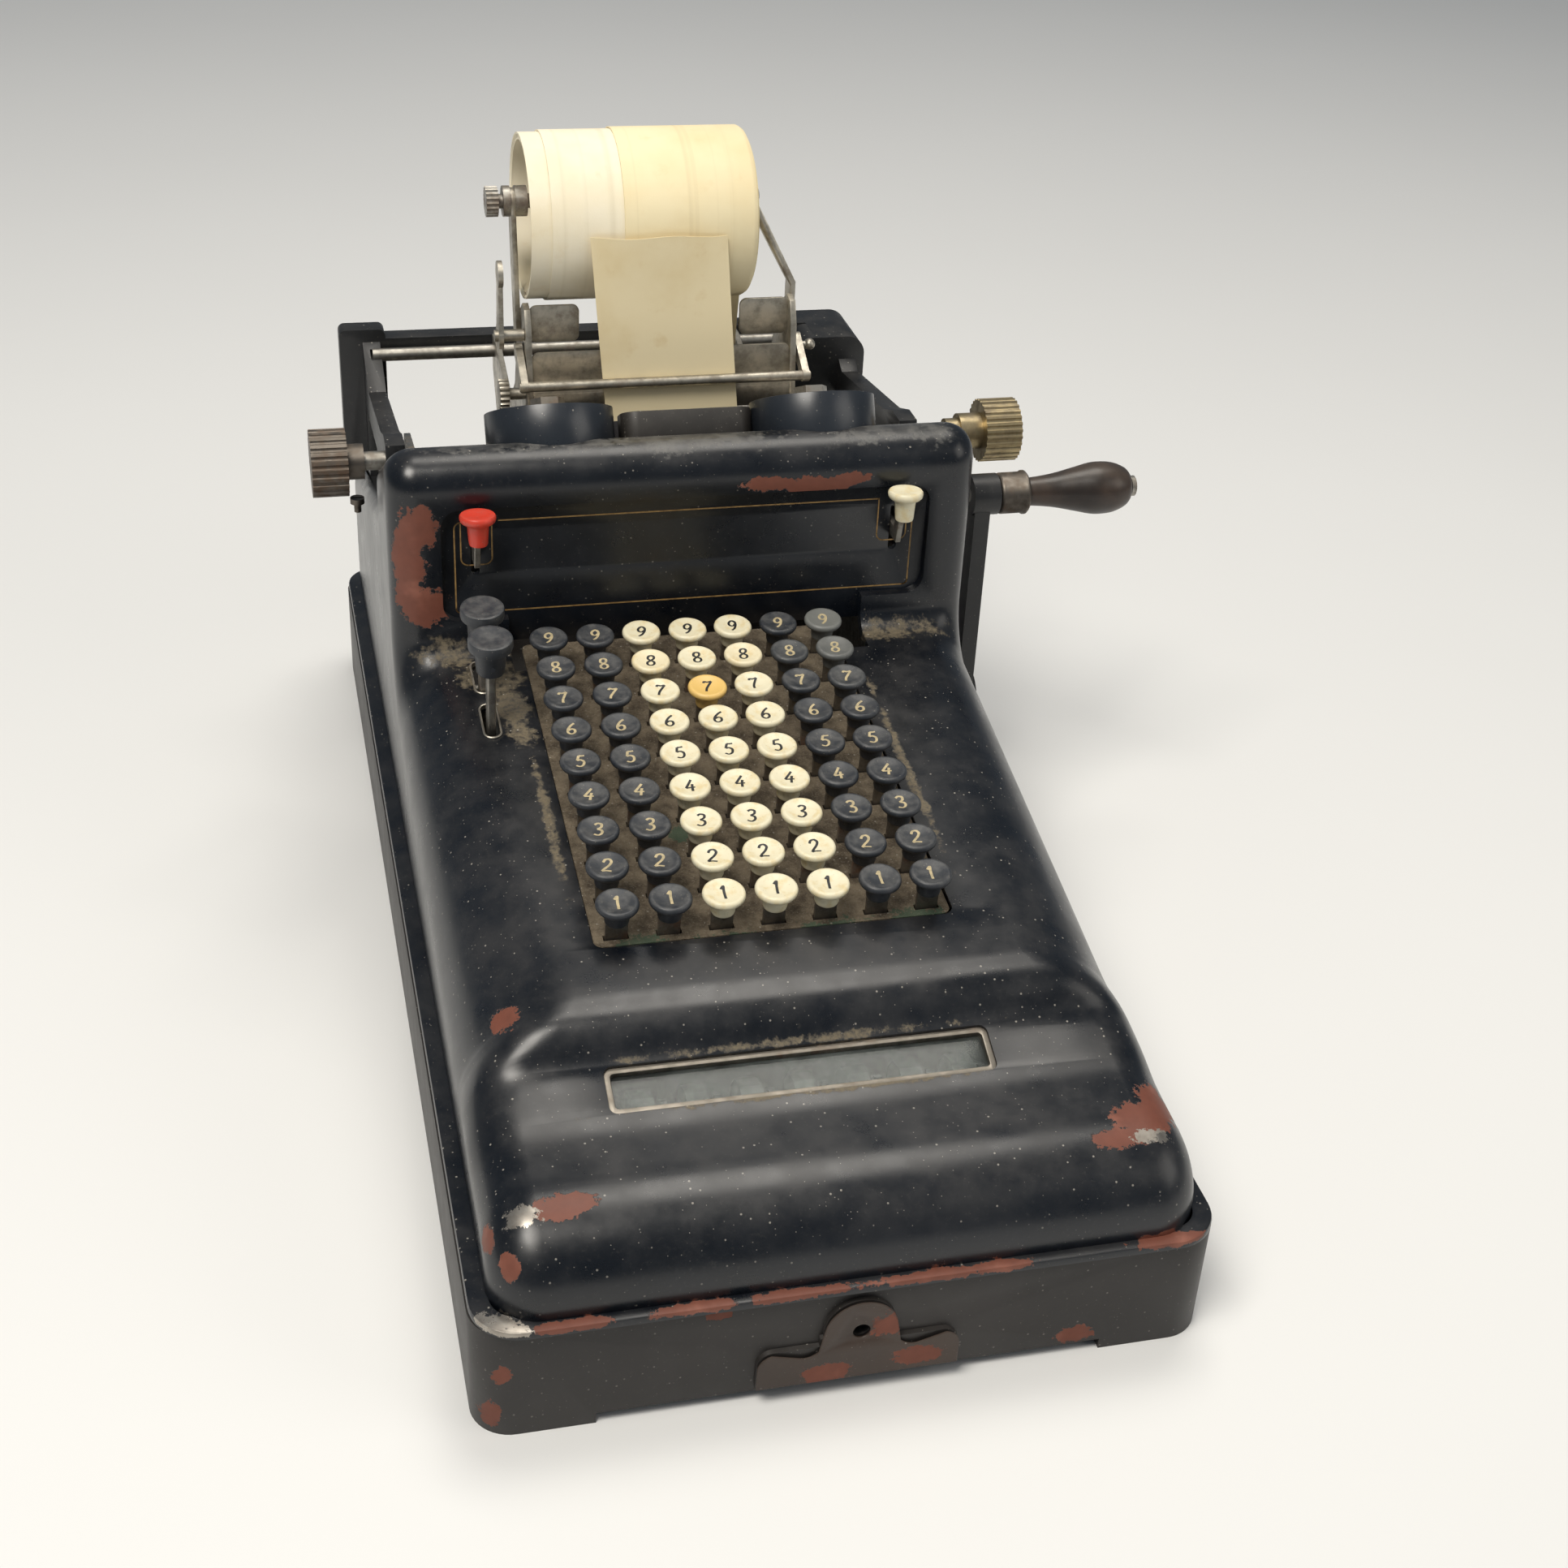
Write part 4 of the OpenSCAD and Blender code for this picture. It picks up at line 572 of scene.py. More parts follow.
def stations(low):
    """Depth, height, edge radius, inward direction and skin at points along the cover's side profile."""
    half, edge = CASE_L / 2, CREST_R - 2
    # Front skirt and rolled nose
    s = [(-half - 2, low, 18, 0, COVER_T)]
    for i in range(17):
        a = math.radians(180 - i * 90 / 16)
        y, z = NOSE_Y + NOSE_DEPTH * math.cos(a), NOSE_Z + NOSE_H * math.sin(a)
        s.append((y, z, 18, -i * 90 / 16, COVER_T))
    # Slope with the window, the ridge and the keyboard, drawn in towards the back
    chain = [
        (NOSE_Y, NOSE_Z + NOSE_H, 18),
        (WINDOW_Y - 22, WINDOW_Z - 5.2, 18), (WINDOW_Y - 12, WINDOW_Z - 4, 18), (WINDOW_Y, WINDOW_Z, 19),
        (WINDOW_Y + 9, WINDOW_Z + 4, 22),
        (RIDGE_Y - 8, plateau(RIDGE_Y) - 7, 30), (RIDGE_Y - 3, plateau(RIDGE_Y) - 2.5, 36),
        (RIDGE_Y + 3, plateau(RIDGE_Y) - 0.3, 40),
    ]
    for k in range(5):
        y = RIDGE_Y + 12 + (FILLET_Y - RIDGE_Y - 12) * k / 5
        chain.append((y, plateau(y), 42 - 17 * k / 5))
    chain.append((FILLET_Y, plateau(FILLET_Y), 25))
    for i in range(1, len(chain) - 1):
        a, b, c = Vector(chain[i - 1]), Vector(chain[i]), Vector(chain[i + 1])
        d = Vector(chain[i + 2]) if i + 2 < len(chain) else c + (c - b)
        for k in range(4):
            s.append((*between(a, b, c, d, k / 4), -90, COVER_T))
    # Hollow fillet up to the panel
    for i in range(9):
        k = i / 8
        a = k * math.pi / 2
        s.append((FILLET_Y + FILLET_R * math.sin(a), plateau(FILLET_Y) + FILLET_R * (1 - math.cos(a)),
                  edge - 1 + (26 - edge) * (1 - k) ** 2, -90 + k * 90, COVER_T + (FRAME_T - COVER_T) * k))
    # Rolled crest and the deck behind it
    for i in range(17):
        k = i / 16
        a = math.radians(k * (90 + DECK_TILT))
        y, z = FACE_Y + CREST_R * (1 - math.cos(a)), CREST_Z - CREST_R * (1 - math.sin(a))
        s.append((y, z, edge, -k * 90, FRAME_T + (COVER_T - FRAME_T) * k))
    end_y, end_z = deck_end()
    s.append((end_y, end_z, 10, -90, COVER_T))
    # Side walls of the open bay, down to the sill, and the rounded back
    for i in range(5):
        k = i / 4
        y, z = end_y + 6 + (SILL_Y - end_y - 6) * k, PLATEN_Z - 14 + (SILL_H - PLATEN_Z + 14) * k
        s.append((y, z, 8, -90, COVER_T))
    for i in range(1, 9):
        a = i / 8 * math.pi / 2
        y, z = SILL_Y + TAIL_R * math.sin(a), SILL_H - TAIL_H * (1 - math.cos(a))
        s.append((y, z, 8, -90 - i * 90 / 8, COVER_T))
    s.append((half, low, 8, -180, COVER_T))
    return s


def skin(low, half_w, inner):
    """The cover's outer or inner skin: one round-edged arch of points at each station."""
    steps = 12
    rows = []
    for y, z, r, deg, t in stations(low):
        inset = t if inner else 0.0
        d = (math.cos(math.radians(deg)), math.sin(math.radians(deg)))
        foot = (y + r * d[0], z + r * d[1])
        top = (y + inset * d[0], z + inset * d[1])
        e = r - min(inset, COVER_T)
        left = []
        for j in range(steps + 1):
            a = math.radians(90 - j * 90 / steps)
            k = math.cos(a)
            left.append((-(half_w - e + e * math.sin(a)), foot[0] + (top[0] - foot[0]) * k,
                         foot[1] + (top[1] - foot[1]) * k))
        rows.append(left + [(-x, yy, zz) for x, yy, zz in reversed(left)])
    m, k = len(rows[0]), len(rows)
    verts = [p for row in rows for p in row]
    faces = []
    for i in range(k - 1):
        for j in range(m - 1):
            faces.append((i * m + j, (i + 1) * m + j, (i + 1) * m + j + 1, i * m + j + 1))
    faces.append(tuple(i * m for i in range(k - 1, -1, -1)))
    faces.append(tuple(i * m + m - 1 for i in range(k)))
    faces.append(tuple(range(m)) + tuple((k - 1) * m + j for j in range(m - 1, -1, -1)))
    return verts, faces


def cut(ob, shapes):
    """Cuts closed shapes out of an object."""
    made = []
    for i, s in enumerate(shapes):
        c = put(f"cutter_{i}", s.v, s.f, None, None, None)
        mod = ob.modifiers.new("cut", "BOOLEAN")
        mod.operation, mod.solver, mod.object = "DIFFERENCE", "EXACT", c
        made.append(c)
    applied(ob)
    for c in made:
        bpy.data.objects.remove(c)
    return ob


def tilted_cup(side):
    """Frame of the left (-1) or right (1) ribbon cup, tilted with the deck."""
    return place(UNIT_X + side * CUP_GAP / 2, CUP_Y, CUP_Z) @ turn("X", -DECK_TILT)


def make_cover():
    """The cover's skin with its openings, and the flange round its foot."""
    here = place(0, 0, 0)
    cover = put("cover_shell", *skin(BASE_H + 1, CASE_W / 2, False), "black_enamel", None, None)
    inside = Shape().add(*skin(BASE_H - 6, CASE_W / 2 - COVER_T, True))
    front, length = KEY_Y - 5, PANEL_Y - KEY_Y + 5
    opening = rounded(COL * 6.92, length, 4, 6, KEY_X, front + length / 2)
    keys = Shape().prism(opening, here, KEY_Z - 45, KEY_Z + 17)
    small = Shape()
    for y in TALL_SLOTS:
        small.prism(rounded(TALL_SLOT_W, TALL_SLOT_L, TALL_SLOT_W / 2 - 0.01, 6, TALL_X, y), here, 60, 160)
    side_slot = rounded(SIDE_SLOT_W, SIDE_SLOT_H, SIDE_SLOT_W / 2 - 0.01, 6)
    for x in (RED_X, REPEAT_X):
        small.prism(side_slot, place(x, 0, SIDE_SLOT_Z) @ UPRIGHT, -57, -32)
    window = place(WINDOW_X, WINDOW_Y, WINDOW_Z) @ turn("X", WINDOW_TILT)
    small.prism(rounded(WINDOW_W, WINDOW_H, 3), window, -12, 12)
    for side in (-1, 1):
        small.lathe([(0, -19), (CUP_D / 2, -19), (CUP_D / 2, 43), (0, 43)], tilted_cup(side), 64)
    small.prism(rounded(43, 40, 3, 4, UNIT_X, 90), here, CREST_Z - 34, CREST_Z + 30)
    small.lathe([(0, 0), (9, 0), (9, 20), (0, 20)], place(CASE_W / 2 - 10, CRANK_Y, CRANK_Z) @ ACROSS, 40)
    pocket = Shape().prism(rounded(202, 50, 8, 8), place(0, 0, 165) @ UPRIGHT, -PANEL_Y, -17)
    low_pocket = Shape().prism(rounded(149, 34, 6, 8), place(0, 0, 135) @ UPRIGHT, -PANEL_Y, -17)
    y1, y2 = deck_end()[0] + 0.5, CASE_L / 2 - 14
    bay = Shape().prism([(-117, y1), (117, y1), (117, y2), (-117, y2)], here, BASE_H + LIP_T + 30, 290)
    cut(cover, [inside, keys, small, pocket, low_pocket, bay])
    bev = cover.modifiers.new("edge", "BEVEL")
    bev.width, bev.segments, bev.limit_method, bev.angle_limit = 0.5 * MM, 2, "ANGLE", math.radians(50)
    applied(cover)
    cover.data.shade_smooth()
    cover.data.set_sharp_from_angle(angle=math.radians(38))
    cover.name = "case_cover_look"
    hand_over(cover, "case", ("case_cover",))
    w, l = CASE_W + 2 * LIP_W, CASE_L + 2 * LIP_W
    section = [(5.6, 45.1), (0.6, 45.1), (0.0, 45.7), (0.0, 47.6),
               (0.3, 48.3), (1.0, 48.6), (5.6, 48.6), (6.8, 48.9)]
    rows = [[(x, y, h) for x, y in rounded(w - 2 * d, l - 2 * d, 17 - d, 10)] for d, h in section]
    rim = Shape().add([p for row in rows for p in row], bands(len(rows), len(rows[0])))
    rim.make("case_flange_look", "black_enamel", "case", "black_enamel")


make_cover()


# Pinstripes on the panel
def stripe(points, width, shape):
    """A flat painted line on the panel's plate, through points of width and height."""
    y = PANEL_Y - 0.05
    pts = [Vector(p) for p in points]
    for a, b in zip(pts, pts[1:]):
        d = (b - a).normalized()
        s = Vector((-d.y, d.x)) * width / 2
        a, b = a - d * width * 0.3, b + d * width * 0.3
        shape.add([(q.x, y, q.y) for q in (a + s, a - s, b - s, b + s)], [(0, 1, 2, 3)])


def arc(cx, cz, r, a0, a1, n=6):
    angles = [math.radians(a0 + (a1 - a0) * k / n) for k in range(n + 1)]
    return [(cx + r * math.cos(a), cz + r * math.sin(a)) for a in angles]


def make_stripes():
    """A frame with round corners, and a small hook round the slot at each side."""
    lines = Shape()
    x, top, bottom, round_r, wide, narrow = 95.3, 182.6, 142.2, 3, 0.62, 0.56
    stripe([(3 - x, top)] + arc(3 - x, top - 3, round_r, 90, 180)[1:] + [(-x, bottom + 2)] +
           arc(2 - x, bottom + 2, 2, 180, 270) + [(x - 2, bottom)] + arc(x - 2, bottom + 2, 2, -90, 0) +
           [(x, top - 3)] + arc(x - 3, top - 3, round_r, 0, 90), wide, lines)
    stripe([(-77.5, top), (80.1, top)], wide, lines)
    hook_z, outer, inner = 166.5, 92.8, 80.3
    for s in (-1, 1):
        turns = (0, -90, 270, 180) if s > 0 else (180, 270, 270, 360)
        stripe([(s * outer, top - 0.8), (s * outer, hook_z)] +
               arc(s * (outer - 3), hook_z, round_r, *turns[:2]) +
               arc(s * (inner + 3), hook_z, round_r, *turns[2:]) + [(s * inner, top)], narrow, lines)
    lines.make("panel_stripes", "gold_line", "case", "black_enamel", painted=True)


make_stripes()


# Keys
# Strokes of the digits, as parts of their height, about the middle of the cap
DIGITS = {
    1: [[(-0.12, 0.3), (0.06, 0.48), (0.02, 0.1), (0.0, -0.48)]],
    2: [[(-0.24, 0.26), (-0.14, 0.45), (0.08, 0.48), (0.22, 0.3), (0.12, 0.05), (-0.12, -0.22),
         (-0.28, -0.45)],
        [(-0.28, -0.45), (-0.05, -0.40), (0.26, -0.47)]],
    3: [[(-0.22, 0.38), (-0.05, 0.48), (0.17, 0.4), (0.16, 0.18), (-0.06, 0.04)],
        [(-0.06, 0.04), (0.18, -0.06), (0.22, -0.3), (0.02, -0.48), (-0.24, -0.38)]],
    4: [[(0.12, 0.48), (-0.1, 0.15), (-0.28, -0.14)], [(-0.28, -0.14), (0.0, -0.13), (0.28, -0.14)],
        [(0.14, 0.14), (0.1, -0.15), (0.08, -0.48)]],
    5: [[(0.22, 0.46), (0.05, 0.45), (-0.12, 0.46)], [(-0.12, 0.46), (-0.16, 0.26), (-0.19, 0.08)],
        [(-0.19, 0.08), (0.0, 0.13), (0.2, -0.02), (0.19, -0.32), (0.0, -0.48), (-0.24, -0.38)]],
    6: [[(0.16, 0.47), (-0.06, 0.28), (-0.22, -0.05), (-0.2, -0.34), (0.0, -0.48), (0.2, -0.34),
         (0.18, -0.08), (-0.02, 0.0), (-0.2, -0.14)]],
    7: [[(-0.24, 0.34), (-0.2, 0.46), (0.0, 0.42), (0.25, 0.46)],
        [(0.25, 0.46), (0.06, 0.1), (-0.06, -0.2), (-0.08, -0.48)]],
    8: [[(0.0, 0.04), (-0.18, 0.2), (-0.14, 0.42), (0.02, 0.48), (0.18, 0.4), (0.18, 0.2), (0.0, 0.04),
         (-0.2, -0.12), (-0.2, -0.36), (0.0, -0.48), (0.2, -0.36), (0.2, -0.12), (0.0, 0.04)]],
    9: [[(0.19, 0.14), (0.02, 0.0), (-0.18, 0.08), (-0.2, 0.32), (0.0, 0.48), (0.2, 0.34), (0.2, 0.05),
         (0.06, -0.26), (-0.16, -0.47)]],
}


def smooth(points, steps=6):
    """A smooth curve through the points, with some steps between each two."""
    pts = [Vector(p) for p in points]
    out = []
    for i in range(len(pts) - 1):
        a, b = pts[max(i - 1, 0)], pts[i]
        c, d = pts[i + 1], pts[min(i + 2, len(pts) - 1)]
        out += [between(a, b, c, d, k / steps) for k in range(steps)]
    return out + [pts[-1]]


# Section of a digit key's cap: radius and height from its rim, dished in the middle, with a collar below
CAP = [
    (0, -0.95), (2.5, -0.85), (4.6, -0.55), (6.0, -0.12), (6.6, 0.0), (7.15, -0.12), (7.6, -0.6), (7.8, -1.3),
    (7.72, -2.0), (7.3, -2.7), (6.4, -3.3), (5.3, -3.7), (4.95, -4.2), (4.75, -5.0), (4.45, -8.4),
    (4.25, -9.1), (3.8, -9.4), (0, -9.4),
]


def dish(r):
    """Height of the cap's dished top at a radius."""
    for (r0, h0), (r1, h1) in zip(CAP, CAP[1:]):
        if r0 <= r <= r1:
            return h0 + (h1 - h0) * (r - r0) / max(r1 - r0, 1e-6)
    return 0.0


def digit(n, height=6.9, width=0.85, lift=0.05):
    """A digit's painted strokes, laid on the dish of a cap."""
    slant = math.tan(math.radians(9))
    shape = Shape()
    for line in DIGITS[n]:
        pts = smooth([((x * 0.92 + y * slant * 0.6) * height, y * height) for x, y in line])
        v, f = [], []
        for i, p in enumerate(pts):
            d = (pts[min(i + 1, len(pts) - 1)] - pts[max(i - 1, 0)]).normalized()
            s = Vector((-d.y, d.x)) * width / 2 * (0.82 + 0.36 * abs(d.y))
            for q in (p + s, p - s):
                v.append((q.x, q.y, dish(q.length) + lift))
        for i in range(len(pts) - 1):
            f.append((2 * i, 2 * i + 1, 2 * i + 3, 2 * i + 2))
        shape.add(v, f)
    return shape


def shape_tree(tree_name, *sockets):
    """An empty node tree for shapes, with its input and its output node."""
    g = bpy.data.node_groups.new(tree_name, "GeometryNodeTree")
    for name, kind in sockets:
        g.interface.new_socket(name, in_out="INPUT", socket_type=f"NodeSocket{kind}")
    g.interface.new_socket("Result", in_out="OUTPUT", socket_type="NodeSocketGeometry")
    return g, g.nodes.new("NodeGroupInput"), g.nodes.new("NodeGroupOutput")


def copies_tree():
    """A node tree that stands a copy of one shape on each point, turned by the point's own angles."""
    sockets = ("Points", "Geometry"), ("Shape", "Object"), ("Finish", "Material")
    g, src, out = shape_tree("copies_on_points", *sockets)
    shape, angles = g.nodes.new("GeometryNodeObjectInfo"), g.nodes.new("GeometryNodeInputNamedAttribute")
    angles.data_type = "FLOAT_VECTOR"
    angles.inputs["Name"].default_value = "turned"
    stand, real = g.nodes.new("GeometryNodeInstanceOnPoints"), g.nodes.new("GeometryNodeRealizeInstances")
    finish = g.nodes.new("GeometryNodeSetMaterial")
    for a, b in (
        (src.outputs["Points"], stand.inputs["Points"]),
        (src.outputs["Shape"], shape.inputs["Object"]),
        (shape.outputs["Geometry"], stand.inputs["Instance"]),
        (angles.outputs["Attribute"], stand.inputs["Rotation"]),
        (stand.outputs["Instances"], real.inputs["Geometry"]),
        (real.outputs["Geometry"], finish.inputs["Geometry"]),
        (src.outputs["Finish"], finish.inputs["Material"]),
        (finish.outputs["Geometry"], out.inputs[0]),
    ):
        g.links.new(a, b)
    return g


COPIES = copies_tree()


def copies(name, shape, frames, look, body, angle=35.0, replaces=(), painted=False):
    """One piece: a copy of the shape at each frame."""
    base = put(f"{name}_base", shape.v, shape.f, None, None, None, angle, painted=painted)
    points = bpy.data.meshes.new(name)
    points.from_pydata([at.translation * MM for at in frames], [], [])
    turned = points.attributes.new("turned", "FLOAT_VECTOR", "POINT")
    turned.data.foreach_set("vector", [a for at in frames for a in at.to_euler()])
    ob = bpy.data.objects.new(name, points)
    scene.collection.objects.link(ob)
    tree = ob.modifiers.new("copies", "NODES")
    tree.node_group = COPIES
    socket = {s.name: s.identifier for s in COPIES.interface.items_tree}
    tree[socket["Shape"]], tree[socket["Finish"]] = base, M[look]
    applied(ob)
    bpy.data.objects.remove(base)
    return hand_over(ob, body, replaces)


MIDDLE = 4
STEM = [(-4, -0.8), (4, -0.8), (4, 0.8), (-4, 0.8)]
STEM_FOOT, STEM_TOP = -45.8, -9.3
# Column and row of the caps that have aged: stained above 0, grey below 0
TONES = {
    (4, 7): 1.0, (3, 8): 0.62, (5, 8): 0.6, (3, 1): 0.55,
    (7, 9): -1.0, (7, 8): -0.8, (6, 8): -0.62, (7, 7): -0.6,
}


def tone_attribute(ob):
    """Writes each cap's own tone on its points."""
    back = KEYS.inverted()
    values = []
    for v in ob.data.vertices:
        q = back @ (v.co / MM)
        values.append(TONES.get((round(q.x / COL) + MIDDLE, round(q.y / ROW) + 1), 0.0))
    ob.data.attributes.new("tone", "FLOAT", "POINT").data.foreach_set("value", values)


KEY_SETS = (("white", (3, 4, 5), "ivory_key", "ink"), ("black", (1, 2, 6, 7), "black_key", "pale_gold"))
for colour, columns, slot, paint in KEY_SETS:
    for row in range(1, 10):
        straight, turned = [], []
        for c in columns:
            x, y, z = (c - MIDDLE) * COL + rng.uniform(-0.15, 0.15), (row - 1) * ROW, rng.uniform(-0.25, 0.0)
            straight.append(KEYS @ place(x, y, z))
            turned.append(straight[-1] @ turn("Z", rng.uniform(-7, 7)))
        body, node = f"{colour}_key_row_{row}", f"{colour}_keys_{row}"
        cap = Shape().lathe(CAP, place(0, 0, 0), 56)
        stem = Shape().prism(STEM, place(0, 0, 0), STEM_FOOT, STEM_TOP, 0.15)
        tone_attribute(copies(f"{node}_caps", cap, turned, slot, body, 50, (node,)))
        copies(f"{node}_stems", stem, straight, "old_steel", body)
        copies(f"{node}_digits", digit(row), turned, paint, body, painted=True)


# Function keys: a wide cap over a collar, on a flat steel lever
TALL = [
    (0, -0.9), (4.5, -0.55), (7.0, -0.1), (7.9, 0.0), (8.5, -0.3), (8.75, -1.1), (8.75, -3.6), (8.5, -4.5),
    (7.6, -5.1), (6.5, -5.4), (6.2, -6.2), (5.6, -15.0), (5.2, -15.8), (4.6, -16.0), (0, -16.0),
]
SIDE = [
    (0, -0.7), (3.8, -0.35), (5.9, 0.0), (6.7, -0.15), (7.15, -0.7), (7.25, -1.6), (7.0, -2.7), (6.2, -3.5),
    (5.0, -4.0), (4.6, -4.5), (4.3, -5.4), (3.8, -12.2), (3.5, -12.9), (0, -13.0),
]
# Takes an outline of depth and height along X
DEPTHS = Matrix(((0, 0, 1, 0), (1, 0, 0, 0), (0, 1, 0, 0), (0, 0, 0, 1)))


def make_tall_key(name, y, top_z=162.0):
    up = top_z - KEY_Z - y * math.sin(math.radians(KEY_SLOPE))
    at = KEYS @ place(TALL_X - KEY_X, y, up)
    body = f"{name}_button"
    cap = Shape().lathe(TALL, at, 64)
    cap.lathe([(0, 0), (1.1, 0), (1.1, 0.5), (0, 0.5)], at @ place(0, -5.6, -11) @ UPRIGHT, 16)
    cap.make(f"{name}_cap", "black_key", body, "black_key", angle=40, replaces=(f"{name}_key",))
    stem = Shape().prism(rounded(3.2, 7.0, 0.6, 3), at, -98.0, -15.9, 0.2)
    stem.make(f"{name}_stem", "plain_steel", body, "plain_steel")


def make_side_key(name, x, look):
    """A cap above the panel, on a lever that reaches back through its slot and down inside."""
    y, z, p = PANEL_Y - 13.0, 192.0, PANEL_Y
    body = f"{name}_button"
    cap = Shape().lathe(SIDE, place(x, y, z) @ turn("X", -4), 64)
    cap.make(f"{name}_cap", look, body, look, angle=40, replaces=(f"{name}_key",))
    outline = [(y + 1, z - 9), (y + 5, z - 9), (y + 9, z - 20), (p + 24, z - 20), (p + 30, z - 60),
               (p + 24, z - 60), (p + 18, z - 26), (y + 5, z - 26)]
    lever = Shape().prism(outline, place(x - 1.2, 0, 0) @ DEPTHS, 0, 2.4, 0.25)
    lever.make(f"{name}_lever", "plain_steel", body, "plain_steel")


def make_slot_rims():
    """Thin bright rims pressed into the two slots of the tall keys."""
    rims = Shape()
    for y, lift in zip(TALL_SLOTS, (0.15, 0.0)):
        at = place(TALL_X, y, plateau(y) + lift) @ turn("X", KEY_SLOPE)
        outer, inner = (7.6, 22.7, 3.75), (6.0, 21.1, 2.95)
        rows = [rounded(*size, 8) for size in (outer, outer, (7.0, 22.1, 3.45), inner, inner)]
        v = [(px, py, h) for row, h in zip(rows, (-0.1, 0.35, 0.6, 0.45, -1.5)) for px, py in row]
        n = len(rows[0])
        f = bands(5, n) + [(4 * n + i, 4 * n + (i + 1) % n, (i + 1) % n, i) for i in range(n)]
        rims.add(v, f, at)
    rims.make("slot_rims", "dull_nickel", "case", "dull_nickel", angle=50)


make_tall_key("total", 152.2)
make_tall_key("subtotal", 127.2)
make_slot_rims()
make_side_key("red", RED_X, "red_key")
make_side_key("repeat", REPEAT_X, "ivory_key")


# Paper
def strip_line():
    """Depth and height along the strip: off the roll, round under the platen, up behind the bail."""
    r = PLATEN_D / 2 + 0.3
    pts = [(152, 233), (147, 205), (134, 180)]
    for a in range(-130, 21, 15):
        pts.append((PLATEN_Y - r * math.cos(math.radians(a)), PLATEN_Z + r * math.sin(math.radians(a))))
    return pts + [(101.2, 192), (102.4, 212.6), (103, 230), (103.2, 252), (101.8, 274)]


def make_strip():
    """A sheet with two faces that leans to the left, with its edges curled and its end torn in a wave."""
    curl_z, wave_z = 236, 268
    pts = smooth(strip_line(), 5)
    run, lean = 0.0, math.tan(math.radians(STRIP_LEAN))
    n, m = len(pts), 15
    v, f = [], []
    for side in (0, 1):
        for i, p in enumerate(pts):
            run = run + (p - pts[i - 1]).length if i else 0.0
            d = (pts[min(i + 1, n - 1)] - pts[max(i - 1, 0)]).normalized()
            off = Vector((-d.y, d.x)) * (STRIP_T * side)
            for j in range(m):
                u = 2 * j / (m - 1) - 1
                curl = 1.6 * u * u * max(0.0, (p.y - curl_z) / 38) ** 2
                top = 0.5 * math.sin(5.1 * u + 0.6) * max(0.0, (p.y - wave_z) / 6)
                v.append((STRIP_X - run * lean + STRIP_W / 2 * u, p.x + off.x + curl, p.y + off.y + top))
    o = n * m
    for side in (0, 1):
        for i in range(n - 1):
            for j in range(m - 1):
                b = side * o + i * m + j
                q = (b, b + 1, b + m + 1, b + m)
                f.append(q if side else q[::-1])
    for i in range(n - 1):
        for j in (0, m - 1):
            f.append((i * m + j, (i + 1) * m + j, o + (i + 1) * m + j, o + i * m + j))
    for i in (0, n - 1):
        for j in range(m - 1):
            f.append((i * m + j, i * m + j + 1, o + i * m + j + 1, o + i * m + j))
    Shape().add(v, f).make("paper_strip_look", "paper", "case", "paper", replaces=("paper_strip",), angle=60)


make_strip()


def make_roll():
    """The roll's outer wraps at the right and its inner wraps, which have slid out to the left."""
    at = place(0, ROLL_Y, ROLL_Z) @ ACROSS
    r, b, right, end = ROLL_R, ROLL_BORE, ROLL_RIGHT, ROLL_LEFT + 0.5
    a, mid_end = ROLL_LEFT + 3 * ROLL_STEP + 12, ROLL_LEFT + ROLL_STEP
    for name, look, outline in (
        ("outer", "roll_paper", [
            (b, right - 0.5), (r - 3, right - 0.5), (r - 2.9, right - 1), (r - 1.2, right - 1.4),
            (r - 0.5, right - 2.4), (r, right - 3.4), (r, a - 0.2), (r - 0.5, a - 0.3), (r - 0.6, a + 3),
            (b, a + 3)]),
        ("middle", "white_paper", [
            (r - 0.7, a + 2), (r - 0.7, mid_end), (r - 1.3, mid_end), (r - 1.3, a + 2)]),
        ("inner", "white_paper", [
            (r - 1.5, a + 2), (r - 1.5, end), (r - 2.3, end), (r - 3.0, end + 0.9), (r - 4.4, end + 0.5),
            (r - 4.4, a + 2.9), (r - 1.6, a + 2.9)]),
    ):
        wraps = Shape().lathe(outline, at, 128)
        stands_for = ("paper_roll",) if name == "outer" else ()
        wraps.make(f"paper_roll_{name}", look, "roll", "paper", angle=40, replaces=stands_for)


make_roll()


# Crank grip and front boss
def make_grip():
    """A turned wooden grip on a metal ferrule, round a through bore."""
    at = place(GRIP_X, CRANK_Y, CRANK_Z + CRANK_LEN) @ ACROSS
    b = GRIP_BORE
    ferrule = [(b, 0), (8.0, 0), (8.6, 0.4), (9.0, 1.4), (9.0, 10.6), (9.6, 11.4), (9.6, 12.4), (8.8, 13.2),
               (b, 13.2)]
    Shape().lathe(ferrule, at, 64).make("grip_ferrule", "dark_knob", "grip", "grip_wood", angle=40)
    line = smooth([(5.9, 13.0), (6.2, 15.5), (6.6, 20), (7.6, 27), (9.6, 36), (11.2, 43), (11.5, 48),
                   (10.9, 53.5), (9.0, 58.3), (7.0, 60.6), (4.6, 61.7)], 4)
    outline = [(b, 13.2), (5.7, 13.2)] + [(p.x, p.y) for p in line] + [(4.5, 58.2), (b, 58.2)]
    wood = Shape().lathe(outline, at, 72)
    wood.make("grip_turned", "grip_wood", "grip", "grip_wood", angle=40, replaces=("crank_grip",))


